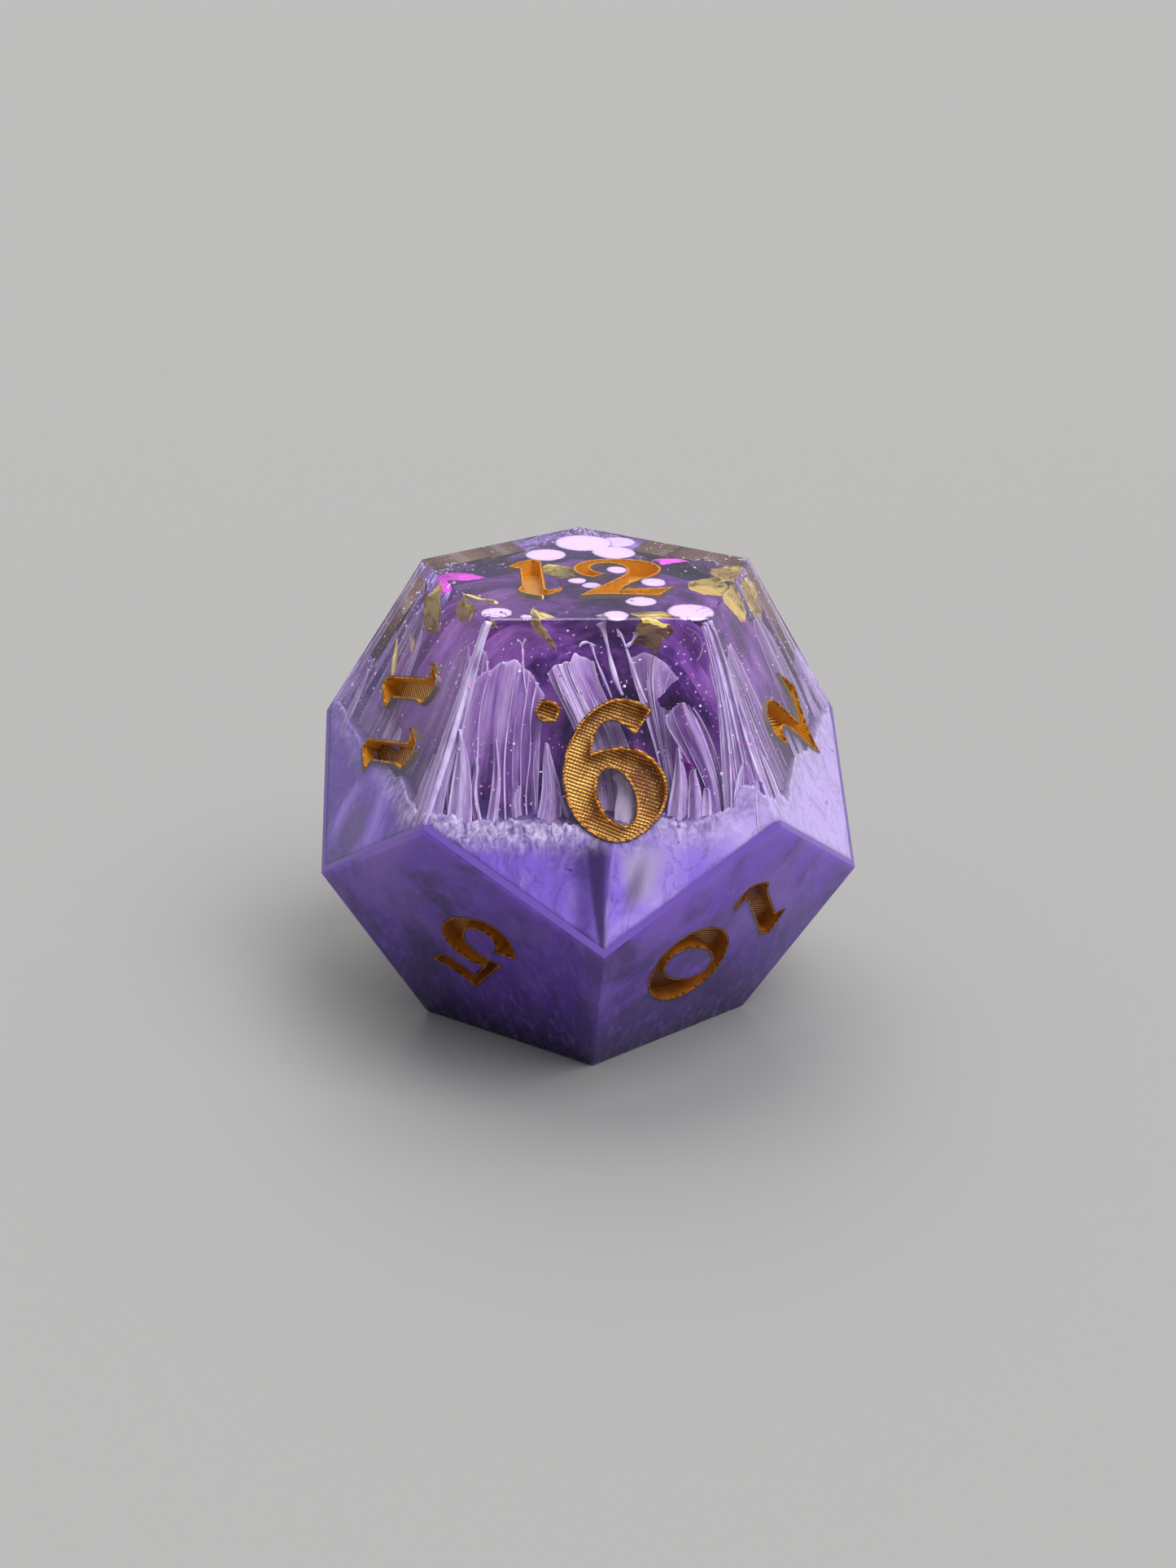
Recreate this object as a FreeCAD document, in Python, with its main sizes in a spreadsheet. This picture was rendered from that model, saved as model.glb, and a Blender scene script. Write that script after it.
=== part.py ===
# A twelve-sided die cast in clear resin, with ink, foil and painted numerals.
# Frame: millimetres, +Z up through face 12, origin under the centre on the plane it rests on, face 9 towards -Y.
import FreeCAD, Part
import math
import os
from FreeCAD import Placement, Rotation, Vector

doc = FreeCAD.newDocument("polyhedral_die")
sheet = doc.addObject("Spreadsheet::Sheet", "Sizes")

SIZES = {
    "across_flats": 20.0,        # between opposite faces
    "single_height": 5.85,       # height of a numeral of one digit
    "pair_height": 5.4,          # height of a numeral of two digits
    "pair_drop": 0.35,           # how far such a numeral sits below the middle of its face
    "numeral_depth": 0.7,        # open depth of a painted numeral
    "paint_film": 0.1,           # gold paint on the floor and walls of a numeral
    "ink_skin": 0.06,            # clear resin left between a face and what is cast inside
    "pearl_wall": 0.25,          # pearl layer behind each lower face
    "pool_level": 12.5,          # height of the ink pool's flat top
    "disc_thickness": 0.12,      # one drop of white ink, spread flat under the top face
    "disc_step": 0.25,           # how much lower the second layer of drops lies
    "foil_thickness": 0.08,      # crumpled metal leaf, as a flat plate
    "veil_thickness": 0.35,      # an ink curtain, as a flat plate
    "cloud_depth": 2.6,          # from an upper face or the top face down to the violet cloud
}
for row, (alias, value) in enumerate(SIZES.items(), start=1):
    sheet.set("A%d" % row, alias)
    sheet.set("B%d" % row, str(value))
    sheet.setAlias("B%d" % row, alias)
doc.recompute()


def size(alias):
    return float(sheet.get(alias))


# ---------------------------------------------------------------- the twelve planes
# Corners lie on four level rings of five. Azimuth 0 is -Y, and it grows towards +X.
face_slope = math.atan(2.0)
inner_radius = size("across_flats") / 2.0
edge = inner_radius / math.sqrt(2.5 + 1.1 * math.sqrt(5.0)) * 2.0
small_ring = edge * math.sqrt((5.0 + math.sqrt(5.0)) / 10.0)
large_ring = small_ring * (1.0 + math.sqrt(5.0)) / 2.0
RINGS = {
    "top": (small_ring, 2.0 * inner_radius, 36),
    "upper": (large_ring, 2.0 * inner_radius - small_ring, 36),
    "lower": (large_ring, small_ring, 0),
    "bottom": (small_ring, 0.0, 0),
}
centre = Vector(0, 0, inner_radius)


def heading(azimuth):
    turn = math.radians(azimuth)
    return Vector(math.sin(turn), -math.cos(turn), 0)


def corner(ring, azimuth):
    radius, height, first = RINGS[ring]
    return heading(azimuth) * radius + Vector(0, 0, height)


def face_normal(level, azimuth):
    if level == "top":
        return Vector(0, 0, 1)
    if level == "bottom":
        return Vector(0, 0, -1)
    rise = math.cos(face_slope) if level == "upper" else -math.cos(face_slope)
    return heading(azimuth) * math.sin(face_slope) + Vector(0, 0, rise)


FACES = [("top", 0), ("bottom", 0)]
for turn in range(5):
    FACES.append(("upper", 72 * turn))
    FACES.append(("lower", 72 * turn + 36))
LOWER_FACES = [face for face in FACES if face[0] in ("lower", "bottom")]


def solid_inside(planes):
    """The space behind every plane, each given as (outward normal, distance from the centre)."""
    reach = 2.0 * size("across_flats")
    block = Part.makeBox(2 * reach, 2 * reach, 2 * reach, Vector(-reach, -reach, -reach) + centre)
    for normal, distance in planes:
        waste = Part.makeBox(4 * reach, 4 * reach, 2 * reach, Vector(-2 * reach, -2 * reach, 0))
        waste.Placement = Placement(centre + normal * distance, Rotation(Vector(0, 0, 1), normal))
        block = block.cut(waste)
    return block


def feature(label, shape):
    item = doc.addObject("Part::Feature", label)
    item.Shape = shape
    return item


def fuse(label, items):
    item = doc.addObject("Part::MultiFuse", label)
    item.Shapes = items
    return item


def cut(label, base, tool):
    item = doc.addObject("Part::Cut", label)
    item.Base = base
    item.Tool = tool
    return item


def common(label, first, second):
    item = doc.addObject("Part::Common", label)
    item.Base = first
    item.Tool = second
    return item


def planes_for(faces, inset):
    return [(face_normal(*face), inner_radius - inset) for face in faces]


body = feature("outer_body", solid_inside(planes_for(FACES, 0.0)))
inside = feature("inside_of_skin", solid_inside(planes_for(FACES, size("ink_skin"))))

# ---------------------------------------------------------------- digit outlines
# Each digit is 1 high and starts at x = 0. An outline starts at a point and goes on in stretches:
# one point makes a straight edge, several make one smooth curve through them.
DIGITS = {
    "1": {
        "width": 0.40,
        "outline": [
            (0.09, 0.73),
            [(0.0, 0.79)],
            [(0.08, 0.90), (0.21, 1.0)],
            [(0.28, 0.92)],
            [(0.28, 0.22)],
            [(0.31, 0.155), (0.35, 0.17), (0.39, 0.235)],
            [(0.40, 0.14), (0.33, 0.055), (0.22, 0.0)],
            [(0.12, 0.055), (0.055, 0.16)],
            [(0.09, 0.26)],
            [(0.09, 0.73)],
        ],
    },
    "2": {
        "width": 0.77,
        "outline": [
            (0.0, 0.0),
            [(0.16, 0.035), (0.38, 0.03), (0.63, 0.0)],
            [(0.77, 0.25)],
            [(0.70, 0.20), (0.58, 0.185), (0.36, 0.19)],
            [(0.47, 0.36), (0.64, 0.54), (0.71, 0.74), (0.62, 0.92), (0.38, 1.0), (0.13, 0.95), (0.0, 0.76),
             (0.04, 0.57), (0.15, 0.49)],
            [(0.26, 0.60)],
            [(0.18, 0.64), (0.14, 0.75), (0.20, 0.86), (0.31, 0.875), (0.41, 0.78), (0.42, 0.62), (0.33, 0.45),
             (0.18, 0.25), (0.0, 0.0)],
        ],
    },
    "3": {
        "width": 0.68,
        "outline": [
            (0.15, 0.70),
            [(0.02, 0.84)],
            [(0.14, 0.96), (0.36, 1.0), (0.57, 0.93), (0.64, 0.77), (0.57, 0.62), (0.50, 0.57)],
            [(0.64, 0.46), (0.68, 0.29), (0.58, 0.09), (0.33, 0.0), (0.10, 0.07), (0.0, 0.19)],
            [(0.15, 0.32)],
            [(0.22, 0.19), (0.36, 0.17), (0.47, 0.30), (0.38, 0.44), (0.24, 0.47)],
            [(0.22, 0.60)],
            [(0.36, 0.62), (0.46, 0.73), (0.38, 0.84), (0.24, 0.82), (0.15, 0.70)],
        ],
    },
    "4": {
        "width": 0.72,
        "outline": [
            (0.0, 0.24),
            [(0.20, 0.60), (0.40, 1.0)],
            [(0.60, 1.0)],
            [(0.58, 0.39)],
            [(0.65, 0.38), (0.72, 0.42)],
            [(0.70, 0.23)],
            [(0.58, 0.24)],
            [(0.59, 0.10), (0.66, 0.04)],
            [(0.50, 0.0), (0.32, 0.03)],
            [(0.38, 0.10), (0.39, 0.24)],
            [(0.0, 0.24)],
        ],
        "holes": [[(0.17, 0.37), [(0.39, 0.38)], [(0.39, 0.76)], [(0.17, 0.37)]]],
    },
    "5": {
        "width": 0.59,
        "outline": [
            (0.10, 0.965),
            [(0.26, 0.94), (0.42, 0.95)],
            [(0.50, 1.01)],
            [(0.48, 0.90), (0.46, 0.82)],
            [(0.30, 0.79), (0.17, 0.80)],
            [(0.16, 0.61)],
            [(0.30, 0.665), (0.48, 0.62), (0.58, 0.44), (0.54, 0.23), (0.42, 0.08), (0.25, 0.0), (0.09, 0.07),
             (0.0, 0.22)],
            [(0.18, 0.35)],
            [(0.19, 0.22), (0.27, 0.165), (0.37, 0.21), (0.41, 0.33), (0.36, 0.44), (0.25, 0.47), (0.05, 0.42)],
            [(0.10, 0.965)],
        ],
    },
    "7": {
        "width": 0.66,
        "outline": [
            (0.0, 0.66),
            [(0.05, 0.80), (0.12, 0.965)],
            [(0.33, 0.93), (0.54, 0.955)],
            [(0.66, 1.02)],
            [(0.60, 0.83), (0.49, 0.60), (0.42, 0.40), (0.42, 0.28), (0.46, 0.25)],
            [(0.53, 0.31)],
            [(0.50, 0.12), (0.37, 0.0), (0.24, 0.06), (0.19, 0.22), (0.26, 0.46), (0.39, 0.74)],
            [(0.18, 0.76), (0.10, 0.71)],
            [(0.0, 0.66)],
        ],
    },
    "8": {
        "width": 0.72,
        "outline": [
            (0.16, 0.54),
            [(0.06, 0.66), (0.06, 0.82), (0.18, 0.95), (0.36, 1.0), (0.54, 0.95), (0.65, 0.82), (0.64, 0.67),
             (0.55, 0.56)],
            [(0.69, 0.44), (0.72, 0.28), (0.60, 0.07), (0.36, 0.0), (0.12, 0.07), (0.0, 0.26), (0.04, 0.44),
             (0.16, 0.54)],
        ],
        "ovals": [(0.35, 0.76, 0.13, 0.09, 30), (0.36, 0.27, 0.17, 0.11, 40)],
    },
    "9": {
        "width": 0.73,
        "outline": [
            (0.22, 0.255),
            [(0.10, 0.085)],
            [(0.20, 0.025), (0.33, 0.0), (0.47, 0.045), (0.60, 0.16), (0.70, 0.35), (0.73, 0.56), (0.68, 0.77),
             (0.55, 0.93), (0.33, 1.0), (0.14, 0.91), (0.03, 0.77), (0.0, 0.63), (0.05, 0.48), (0.18, 0.37),
             (0.34, 0.34), (0.52, 0.375)],
            [(0.51, 0.27), (0.45, 0.18), (0.37, 0.155), (0.29, 0.20), (0.22, 0.255)],
        ],
        "ovals": [(0.356, 0.686, 0.205, 0.125, 112)],
    },
    "0": {
        "width": 0.78,
        "ovals": [(0.39, 0.5, 0.5, 0.39, 90), (0.39, 0.49, 0.32, 0.165, 112)],
    },
    ".": {
        "width": 0.19,
        "outline": [
            (0.04, 0.16),
            [(0.13, 0.16)],
            [(0.17, 0.13), (0.19, 0.08)],
            [(0.15, 0.01)],
            [(0.04, 0.03), (0.0, 0.07)],
            [(0.04, 0.16)],
        ],
    },
}
DIGIT_GAPS = {"1": 0.13}      # space after a digit, in digit heights


def outline_wire(stretches, spot, inset):
    """A closed outline. With an inset its edges move inwards and its corners are mitred."""
    runs = []
    start = spot(*stretches[0])
    for stretch in stretches[1:]:
        points = [start] + [spot(*point) for point in stretch]
        if len(points) == 2:
            along = [(points[1] - points[0]).normalize()] * 2
        else:
            curve = Part.BSplineCurve()
            curve.interpolate(points)
            along = [curve.tangent(curve.parameter(point))[0] for point in points]
        runs.append((points, along))
        start = points[-1]
    turn = sum(first.cross(second).z for points, along in runs for first, second in zip(points, points[1:]))
    inward = Vector(0, 0, inset if turn > 0 else -inset)
    moved = [[point + inward.cross(way) for point, way in zip(*run)] for run in runs]
    for index, (points, along) in enumerate(runs):
        before = inward.cross(runs[index - 1][1][-1])
        after = inward.cross(along[0])
        if inset:
            joint = points[0] + (before + after) * (inset * inset / (inset * inset + before.dot(after)))
            moved[index][0] = joint
            moved[index - 1][-1] = joint
    edges = []
    for points in moved:
        if len(points) == 2:
            edges.append(Part.makeLine(points[0], points[1]))
        else:
            curve = Part.BSplineCurve()
            curve.interpolate(points)
            edges.append(curve.toShape())
    return Part.Wire(edges)


def oval_wire(oval, spot, height, inset):
    x, y, long_half, short_half, lean = oval
    curve = Part.Ellipse(Vector(0, 0, 0), long_half * height - inset, short_half * height - inset)
    wire = Part.Wire([curve.toShape()])
    wire.Placement = Placement(spot(x, y), Rotation(Vector(0, 0, 1), lean))
    return wire


def digit_width(digit):
    return DIGITS["9" if digit == "6" else digit]["width"]


def digit_prism(digit, left, foot, height, inset, low, high):
    """A digit from z = low to z = high, with its outline drawn in by an inset."""
    turned = digit == "6"
    shape = DIGITS["9" if turned else digit]

    def spot(x, y):
        if turned:
            x, y = shape["width"] - x, 1.0 - y
        return Vector(left + x * height, foot + y * height, 0)

    wires = []
    if "outline" in shape:
        wires.append(outline_wire(shape["outline"], spot, inset))
    for hole in shape.get("holes", []):
        wires.append(outline_wire(hole, spot, -inset))
    for oval in shape.get("ovals", []):
        wires.append(oval_wire(oval, spot, height, -inset if wires else inset))
    solids = [Part.Face(wire).extrude(Vector(0, 0, high - low)) for wire in wires]
    for solid in solids:
        solid.translate(Vector(0, 0, low))
    return solids[0].cut(solids[1:]) if len(solids) > 1 else solids[0]


def digit_row(text, height):
    """Each digit with the x of its left side, the whole row centred on x = 0."""
    spread = []
    left = 0.0
    for digit in text:
        spread.append((digit, left))
        left += (digit_width(digit) + DIGIT_GAPS.get(digit, 0.0)) * height
    full = left - DIGIT_GAPS.get(text[-1], 0.0) * height
    return [(digit, place - full / 2.0) for digit, place in spread]


# ---------------------------------------------------------------- numerals
# Text, the face that carries it, and the corner that the numeral's top points to.
NUMERALS = {
    "12": ("12", ("top", 0), ("top", 180)),
    "09": ("9.", ("upper", 0), ("lower", 0)),
    "07": ("7", ("upper", 72), ("upper", 108)),
    "08": ("8", ("upper", 144), ("upper", 180)),
    "03": ("3", ("upper", 216), ("upper", 180)),
    "11": ("11", ("upper", 288), ("upper", 252)),
    "10": ("10", ("lower", 36), ("bottom", 72)),
    "02": ("2", ("lower", 108), ("bottom", 72)),
    "04": ("4", ("lower", 180), ("bottom", 216)),
    "06": ("6.", ("lower", 252), ("bottom", 216)),
    "05": ("5", ("lower", 324), ("bottom", 288)),
    "01": ("1", ("bottom", 0), ("bottom", 0)),
}


def face_placement(face, top_corner):
    """Z outwards from the middle of a face, and Y towards one of its corners."""
    normal = face_normal(*face)
    middle = centre + normal * inner_radius
    up = corner(*top_corner) - middle
    right = up.cross(normal)
    return Placement(middle, Rotation(right, up, normal, "ZXY"))


recesses = []
paints = []
film = size("paint_film")
sunk = size("numeral_depth") + film
for name, (text, face, top_corner) in NUMERALS.items():
    digits = [character for character in text if character != "."]
    paired = len(digits) == 2
    height = size("pair_height") if paired else size("single_height")
    foot = -height / 2.0 - (size("pair_drop") if paired else 0.0)
    blocks = []
    hollows = []
    for digit, left in digit_row(text, height):
        blocks.append(digit_prism(digit, left, foot, height, 0.0, -sunk, 0.0))
        hollows.append(digit_prism(digit, left, foot, height, film, -size("numeral_depth"), film))
    place = face_placement(face, top_corner)
    recess = feature("recess_" + name, Part.Compound(blocks))
    recess.Placement = place
    hollow = feature("hollow_" + name, Part.Compound(hollows))
    hollow.Placement = place
    recesses.append(recess)
    paints.append(cut("numeral_paint_" + name, recess, hollow))
all_recesses = fuse("all_recesses", recesses)

# ---------------------------------------------------------------- pearl base and ink pool
lid = (Vector(0, 0, 1), size("pool_level") - inner_radius)
skin = size("ink_skin")
wall = skin + size("pearl_wall")
filled = feature("ink_filled", solid_inside(planes_for(FACES, skin) + [lid]))
pool_raw = feature("pool_raw", solid_inside(
    planes_for(LOWER_FACES, wall) + planes_for([face for face in FACES if face[0] == "upper"], skin) + [lid]))
pool = cut("lavender_ink_pool", pool_raw, all_recesses)
base = cut("purple_pearl_base", cut("base_raw", filled, pool_raw), all_recesses)

# ---------------------------------------------------------------- drops of white ink under the top face
# Azimuth, share of the free way from the middle to the face's rim, radius in mm, layer.
DROPS = [
    (179, 0.83, 1.25, 0),
    (163, 0.97, 0.80, 1),
    (210, 0.67, 0.90, 0),
    (159, 0.68, 0.95, 0),
    (119, 0.24, 0.50, 0),
    (325, 0.15, 0.38, 0),
    (0, 0.23, 0.40, 1),
    (67, 0.51, 0.55, 0),
    (26, 0.69, 0.62, 0),
    (322, 1.00, 0.62, 0),
    (7, 0.99, 0.50, 0),
    (36, 1.00, 0.95, 0),
    (333, 0.98, 0.25, 0),
]
top_inradius = small_ring * math.cos(math.radians(36))


def rim_distance(azimuth, margin):
    """From the middle of the top face to its rim along an azimuth, keeping a margin off every edge."""
    off_edge = (azimuth + 36) % 72 - 36
    return (top_inradius - margin) / math.cos(math.radians(off_edge))


def near(item, others):
    """The others whose boxes meet the item's box."""
    return [other for other in others if item.Shape.BoundBox.intersect(other.Shape.BoundBox)]


def trimmed(label, raw, tools):
    """What is cast in stays inside the skin, clear of the numerals and of the pieces already placed."""
    doc.recompute()
    within = common(label + "_within", raw, inside)
    around = near(raw, recesses + tools)
    if not around:
        within.Label = label
        return within
    return cut(label, within, fuse(label + "_around", around) if len(around) > 1 else around[0])


drops = []
for number, (azimuth, share, radius, layer) in enumerate(DROPS, start=1):
    label = "white_ink_disc_%02d" % number
    disc = doc.addObject("Part::Cylinder", label + "_raw")
    disc.Radius = radius
    disc.setExpression("Height", "Sizes.disc_thickness")
    depth = skin + size("disc_thickness") + layer * size("disc_step")
    way = share * rim_distance(azimuth, radius)
    disc.Placement = Placement(heading(azimuth) * way + Vector(0, 0, 2.0 * inner_radius - depth), Rotation())
    drops.append(trimmed(label, disc, drops))

# ---------------------------------------------------------------- foil flakes
# Place as shares of the inner radius from the die's middle, length and width in mm, and the plate's turns.
GOLD_FLAKES = [
    ((-0.63, -0.01, 0.81), 2.2, 1.3, (35, 70, 20)),
    ((-0.48, -0.25, 0.88), 1.2, 0.9, (60, 65, 0)),
    ((-0.785, 0.07, 0.52), 2.4, 0.9, (25, 75, 55)),
    ((-0.66, 0.12, 0.60), 1.0, 0.5, (15, 60, 30)),
    ((-0.25, -0.50, 0.93), 1.7, 1.0, (80, 60, 60)),
    ((-0.12, 0.19, 0.84), 2.4, 0.8, (10, 35, 75)),
    ((0.50, -0.08, 0.85), 1.9, 1.6, (20, 15, 30)),
    ((0.64, 0.18, 0.79), 1.6, 1.2, (-30, 60, 10)),
    ((0.22, -0.49, 0.90), 2.6, 1.0, (90, 40, 15)),
]
VIOLET_FLAKES = [
    ((0.32, -0.66, 0.65), 1.6, 1.1, (85, 60, 15)),
    ((0.34, -0.77, 0.41), 0.8, 0.6, (70, 70, 0)),
    ((-0.57, 0.04, 0.91), 1.8, 0.8, (15, 30, 40)),
    ((0.40, 0.34, 0.86), 1.5, 0.9, (40, 30, 0)),
]


def flakes(label_start, rows, around):
    made = []
    for number, (share, length, width, turns) in enumerate(rows, start=1):
        label = "%s_%02d" % (label_start, number)
        plate = doc.addObject("Part::Box", label + "_raw")
        plate.Length = length
        plate.Width = width
        plate.setExpression("Height", "Sizes.foil_thickness")
        turn = Rotation(*turns)
        middle = turn.multVec(Vector(length, width, size("foil_thickness")) * 0.5)
        plate.Placement = Placement(centre + Vector(*share) * inner_radius - middle, turn)
        made.append(trimmed(label, plate, around + made))
    return made


gold = flakes("gold_foil_flake", GOLD_FLAKES, [pool] + drops)
violet = flakes("violet_foil_flake", VIOLET_FLAKES, [pool] + drops + gold)

# ---------------------------------------------------------------- ink curtains behind the upper faces
# Face azimuth; x, y and half width of the tip; x and half width of the foot; depth. Shares of the inner radius,
# x and y from the middle of the face, for someone who looks at it with the top face up.
VEILS = [
    (0, -0.46, 0.56, 0.02, -0.66, 0.08, 0.05),
    (0, -0.38, 0.46, 0.06, -0.40, 0.15, 0.10),
    (0, -0.13, 0.47, 0.10, -0.05, 0.13, 0.15),
    (0, 0.09, 0.52, 0.04, 0.22, 0.10, 0.20),
    (0, 0.30, 0.31, 0.04, 0.33, 0.08, 0.09),
    (0, 0.43, 0.56, 0.03, 0.63, 0.10, 0.05),
    (0, 0.39, 0.06, 0.02, 0.44, 0.07, 0.13),
    (0, -0.21, 0.10, 0.02, -0.20, 0.06, 0.09),
    (72, -0.28, 0.42, 0.06, -0.36, 0.17, 0.10),
    (72, 0.24, 0.38, 0.05, 0.30, 0.16, 0.13),
    (144, -0.26, 0.43, 0.06, -0.32, 0.16, 0.10),
    (144, 0.27, 0.40, 0.05, 0.34, 0.16, 0.13),
    (216, -0.25, 0.39, 0.06, -0.33, 0.17, 0.10),
    (216, 0.29, 0.43, 0.05, 0.33, 0.15, 0.13),
    (288, -0.27, 0.40, 0.06, -0.30, 0.16, 0.10),
    (288, 0.28, 0.42, 0.05, 0.36, 0.17, 0.13),
]


def upright(azimuth, depth):
    """Behind the middle of an upper face, with Z outwards and Y up the slope of the face."""
    normal = face_normal("upper", azimuth)
    right = heading(azimuth + 90)
    return Placement(centre + normal * (inner_radius - depth), Rotation(right, normal.cross(right), normal, "ZXY"))


pool_line = (size("pool_level") - upright(0, 0.0).Base.z) / math.sin(face_slope)
veils = []
for number, (azimuth, tip_x, tip_y, tip_half, foot_x, foot_half, depth) in enumerate(VEILS, start=1):
    label = "ink_veil_%02d" % number
    plate = doc.addObject("Part::Wedge", label + "_raw")
    plate.Xmin = (foot_x - foot_half) * inner_radius
    plate.Xmax = (foot_x + foot_half) * inner_radius
    plate.X2min = (tip_x - tip_half) * inner_radius
    plate.X2max = (tip_x + tip_half) * inner_radius
    plate.Ymin = pool_line
    plate.Ymax = tip_y * inner_radius
    plate.Zmin = plate.Z2min = 0.0
    plate.setExpression("Zmax", "Sizes.veil_thickness")
    plate.setExpression("Z2max", "Sizes.veil_thickness")
    plate.Placement = upright(azimuth, depth * inner_radius + size("veil_thickness"))
    veils.append(trimmed(label, plate, [pool, base] + drops + gold + violet + veils))

# ---------------------------------------------------------------- violet cloud behind the curtains
cloud_faces = [face for face in FACES if face[0] in ("top", "upper")]
floor_plane = (Vector(0, 0, -1), inner_radius - size("pool_level"))
cloud_raw = feature("cloud_raw", solid_inside(planes_for(cloud_faces, size("cloud_depth")) + [floor_plane]))
cloud = trimmed("violet_ink_cloud", cloud_raw, [pool] + drops + veils + gold + violet)

# ---------------------------------------------------------------- clear casting around all of it
contents = [pool, base, cloud] + drops + veils + gold + violet
casting = cut("clear_resin_casting", body, fuse("all_contents", [all_recesses] + contents))
doc.recompute()

# ---------------------------------------------------------------- check and write
for item in doc.Objects:
    if "Invalid" in item.State or "Error" in item.State:
        raise RuntimeError("failed object: " + item.Label)
nodes = [casting] + contents + paints
os.makedirs("parts", exist_ok=True)
for node in nodes:
    shape = node.Shape
    if shape.isNull() or not shape.isValid() or not shape.Solids:
        raise RuntimeError("bad shape: " + node.Label)
    shape.exportStep("parts/%s.step" % node.Label)
    print("%-24s solids %2d  volume %9.4f mm3" % (node.Label, len(shape.Solids), shape.Volume))
print("nodes:", len(nodes))
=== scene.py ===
import math

import bmesh
import bpy
import numpy as np
from mathutils import Matrix, Vector


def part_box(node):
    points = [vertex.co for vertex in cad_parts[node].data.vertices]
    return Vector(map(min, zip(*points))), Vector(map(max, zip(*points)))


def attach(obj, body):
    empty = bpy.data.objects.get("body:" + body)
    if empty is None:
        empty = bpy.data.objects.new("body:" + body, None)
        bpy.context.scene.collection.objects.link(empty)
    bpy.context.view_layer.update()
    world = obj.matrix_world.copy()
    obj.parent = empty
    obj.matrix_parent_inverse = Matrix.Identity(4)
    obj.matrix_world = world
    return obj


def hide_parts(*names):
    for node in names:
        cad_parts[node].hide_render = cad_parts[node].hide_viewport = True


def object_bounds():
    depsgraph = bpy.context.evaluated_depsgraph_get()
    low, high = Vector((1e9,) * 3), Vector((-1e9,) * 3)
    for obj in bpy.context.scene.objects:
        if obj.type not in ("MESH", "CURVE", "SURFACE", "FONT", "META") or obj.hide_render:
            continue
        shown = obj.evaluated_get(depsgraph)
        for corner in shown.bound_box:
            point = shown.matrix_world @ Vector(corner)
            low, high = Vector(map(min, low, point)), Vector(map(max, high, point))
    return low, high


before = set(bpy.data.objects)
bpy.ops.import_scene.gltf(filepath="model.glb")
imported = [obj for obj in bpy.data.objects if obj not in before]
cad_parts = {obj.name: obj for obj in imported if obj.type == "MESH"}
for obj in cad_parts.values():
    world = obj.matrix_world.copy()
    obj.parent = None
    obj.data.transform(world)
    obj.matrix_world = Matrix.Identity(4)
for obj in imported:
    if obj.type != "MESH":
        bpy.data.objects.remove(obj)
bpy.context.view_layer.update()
print("frame loaded:", len(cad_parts), "nodes")

# the die's own geometry, from the frame
mm = 0.001
dieLow, dieHigh = [np.array(corner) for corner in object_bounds()]
innerRadius = (dieHigh[2] - dieLow[2]) / 2
middle = np.array([0.0, 0.0, dieLow[2] + innerRadius])
faceSlope = math.atan(2.0)
edgeLength = 2 * innerRadius / math.sqrt(2.5 + 1.1 * math.sqrt(5.0))
smallRing = edgeLength * math.sqrt((5.0 + math.sqrt(5.0)) / 10.0)
largeRing = smallRing * (1.0 + math.sqrt(5.0)) / 2.0
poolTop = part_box("lavender_ink_pool")[1][2]


def heading(azimuth):
    turn = math.radians(azimuth)
    return np.array([math.sin(turn), -math.cos(turn), 0.0])


def faceNormal(level, azimuth=0):
    tilt = {"top": 0.0, "upper": faceSlope, "lower": math.pi - faceSlope, "bottom": math.pi}[level]
    return heading(azimuth) * math.sin(tilt) + np.array([0.0, 0.0, math.cos(tilt)])


upperNormals = [faceNormal("upper", 72 * turn) for turn in range(5)]
lowerNormals = [faceNormal("lower", 72 * turn + 36) for turn in range(5)]
allNormals = np.array([faceNormal("top"), faceNormal("bottom")] + upperNormals + lowerNormals)


def keepInside(points, inset):
    # a point past a face's plane, drawn in by the inset, is moved straight back onto it
    moved = np.array(points, dtype=float)
    for _ in range(2):
        for normal in allNormals:
            past = (moved - middle) @ normal - (innerRadius - inset)
            moved = moved - np.clip(past, 0.0, None)[..., None] * normal
    return moved


def faceFrame(level, azimuth=0):
    # middle of a face, then its right, its up and its outward direction as somebody facing it sees them
    normal = faceNormal(level, azimuth)
    up = np.array([0.0, 1.0, 0.0]) if level == "top" else np.array([0.0, 0.0, 1.0])
    up = up - normal * (up @ normal)
    up = up / np.linalg.norm(up)
    return middle + normal * innerRadius, np.cross(up, normal), up, normal


def onFace(level, azimuth, x, y, depth):
    # millimetres right, up and below the face's middle, as arrays of one shape, to places in metres
    origin, right, up, normal = faceFrame(level, azimuth)
    x, y, depth = np.broadcast_arrays(x, y, depth)
    return origin + mm * (x[..., None] * right + y[..., None] * up - depth[..., None] * normal)


# mesh helpers
def linked(name, data):
    item = bpy.data.objects.new(name, data)
    bpy.context.scene.collection.objects.link(item)
    return item


def newObject(name, points, faces, smooth=True, attributes=None, material=None):
    mesh = bpy.data.meshes.new(name)
    mesh.from_pydata(points.reshape(-1, 3).tolist(), [], faces.tolist() if hasattr(faces, "tolist") else faces)
    mesh.polygons.foreach_set("use_smooth", [smooth] * len(mesh.polygons))
    for label, values in (attributes or {}).items():
        layer = mesh.attributes.new(label, "FLOAT", "POINT")
        layer.data.foreach_set("value", np.asarray(values, dtype=np.float32).ravel())
    if material:
        mesh.materials.append(material)
    mesh.update()
    return linked(name, mesh)


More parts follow.
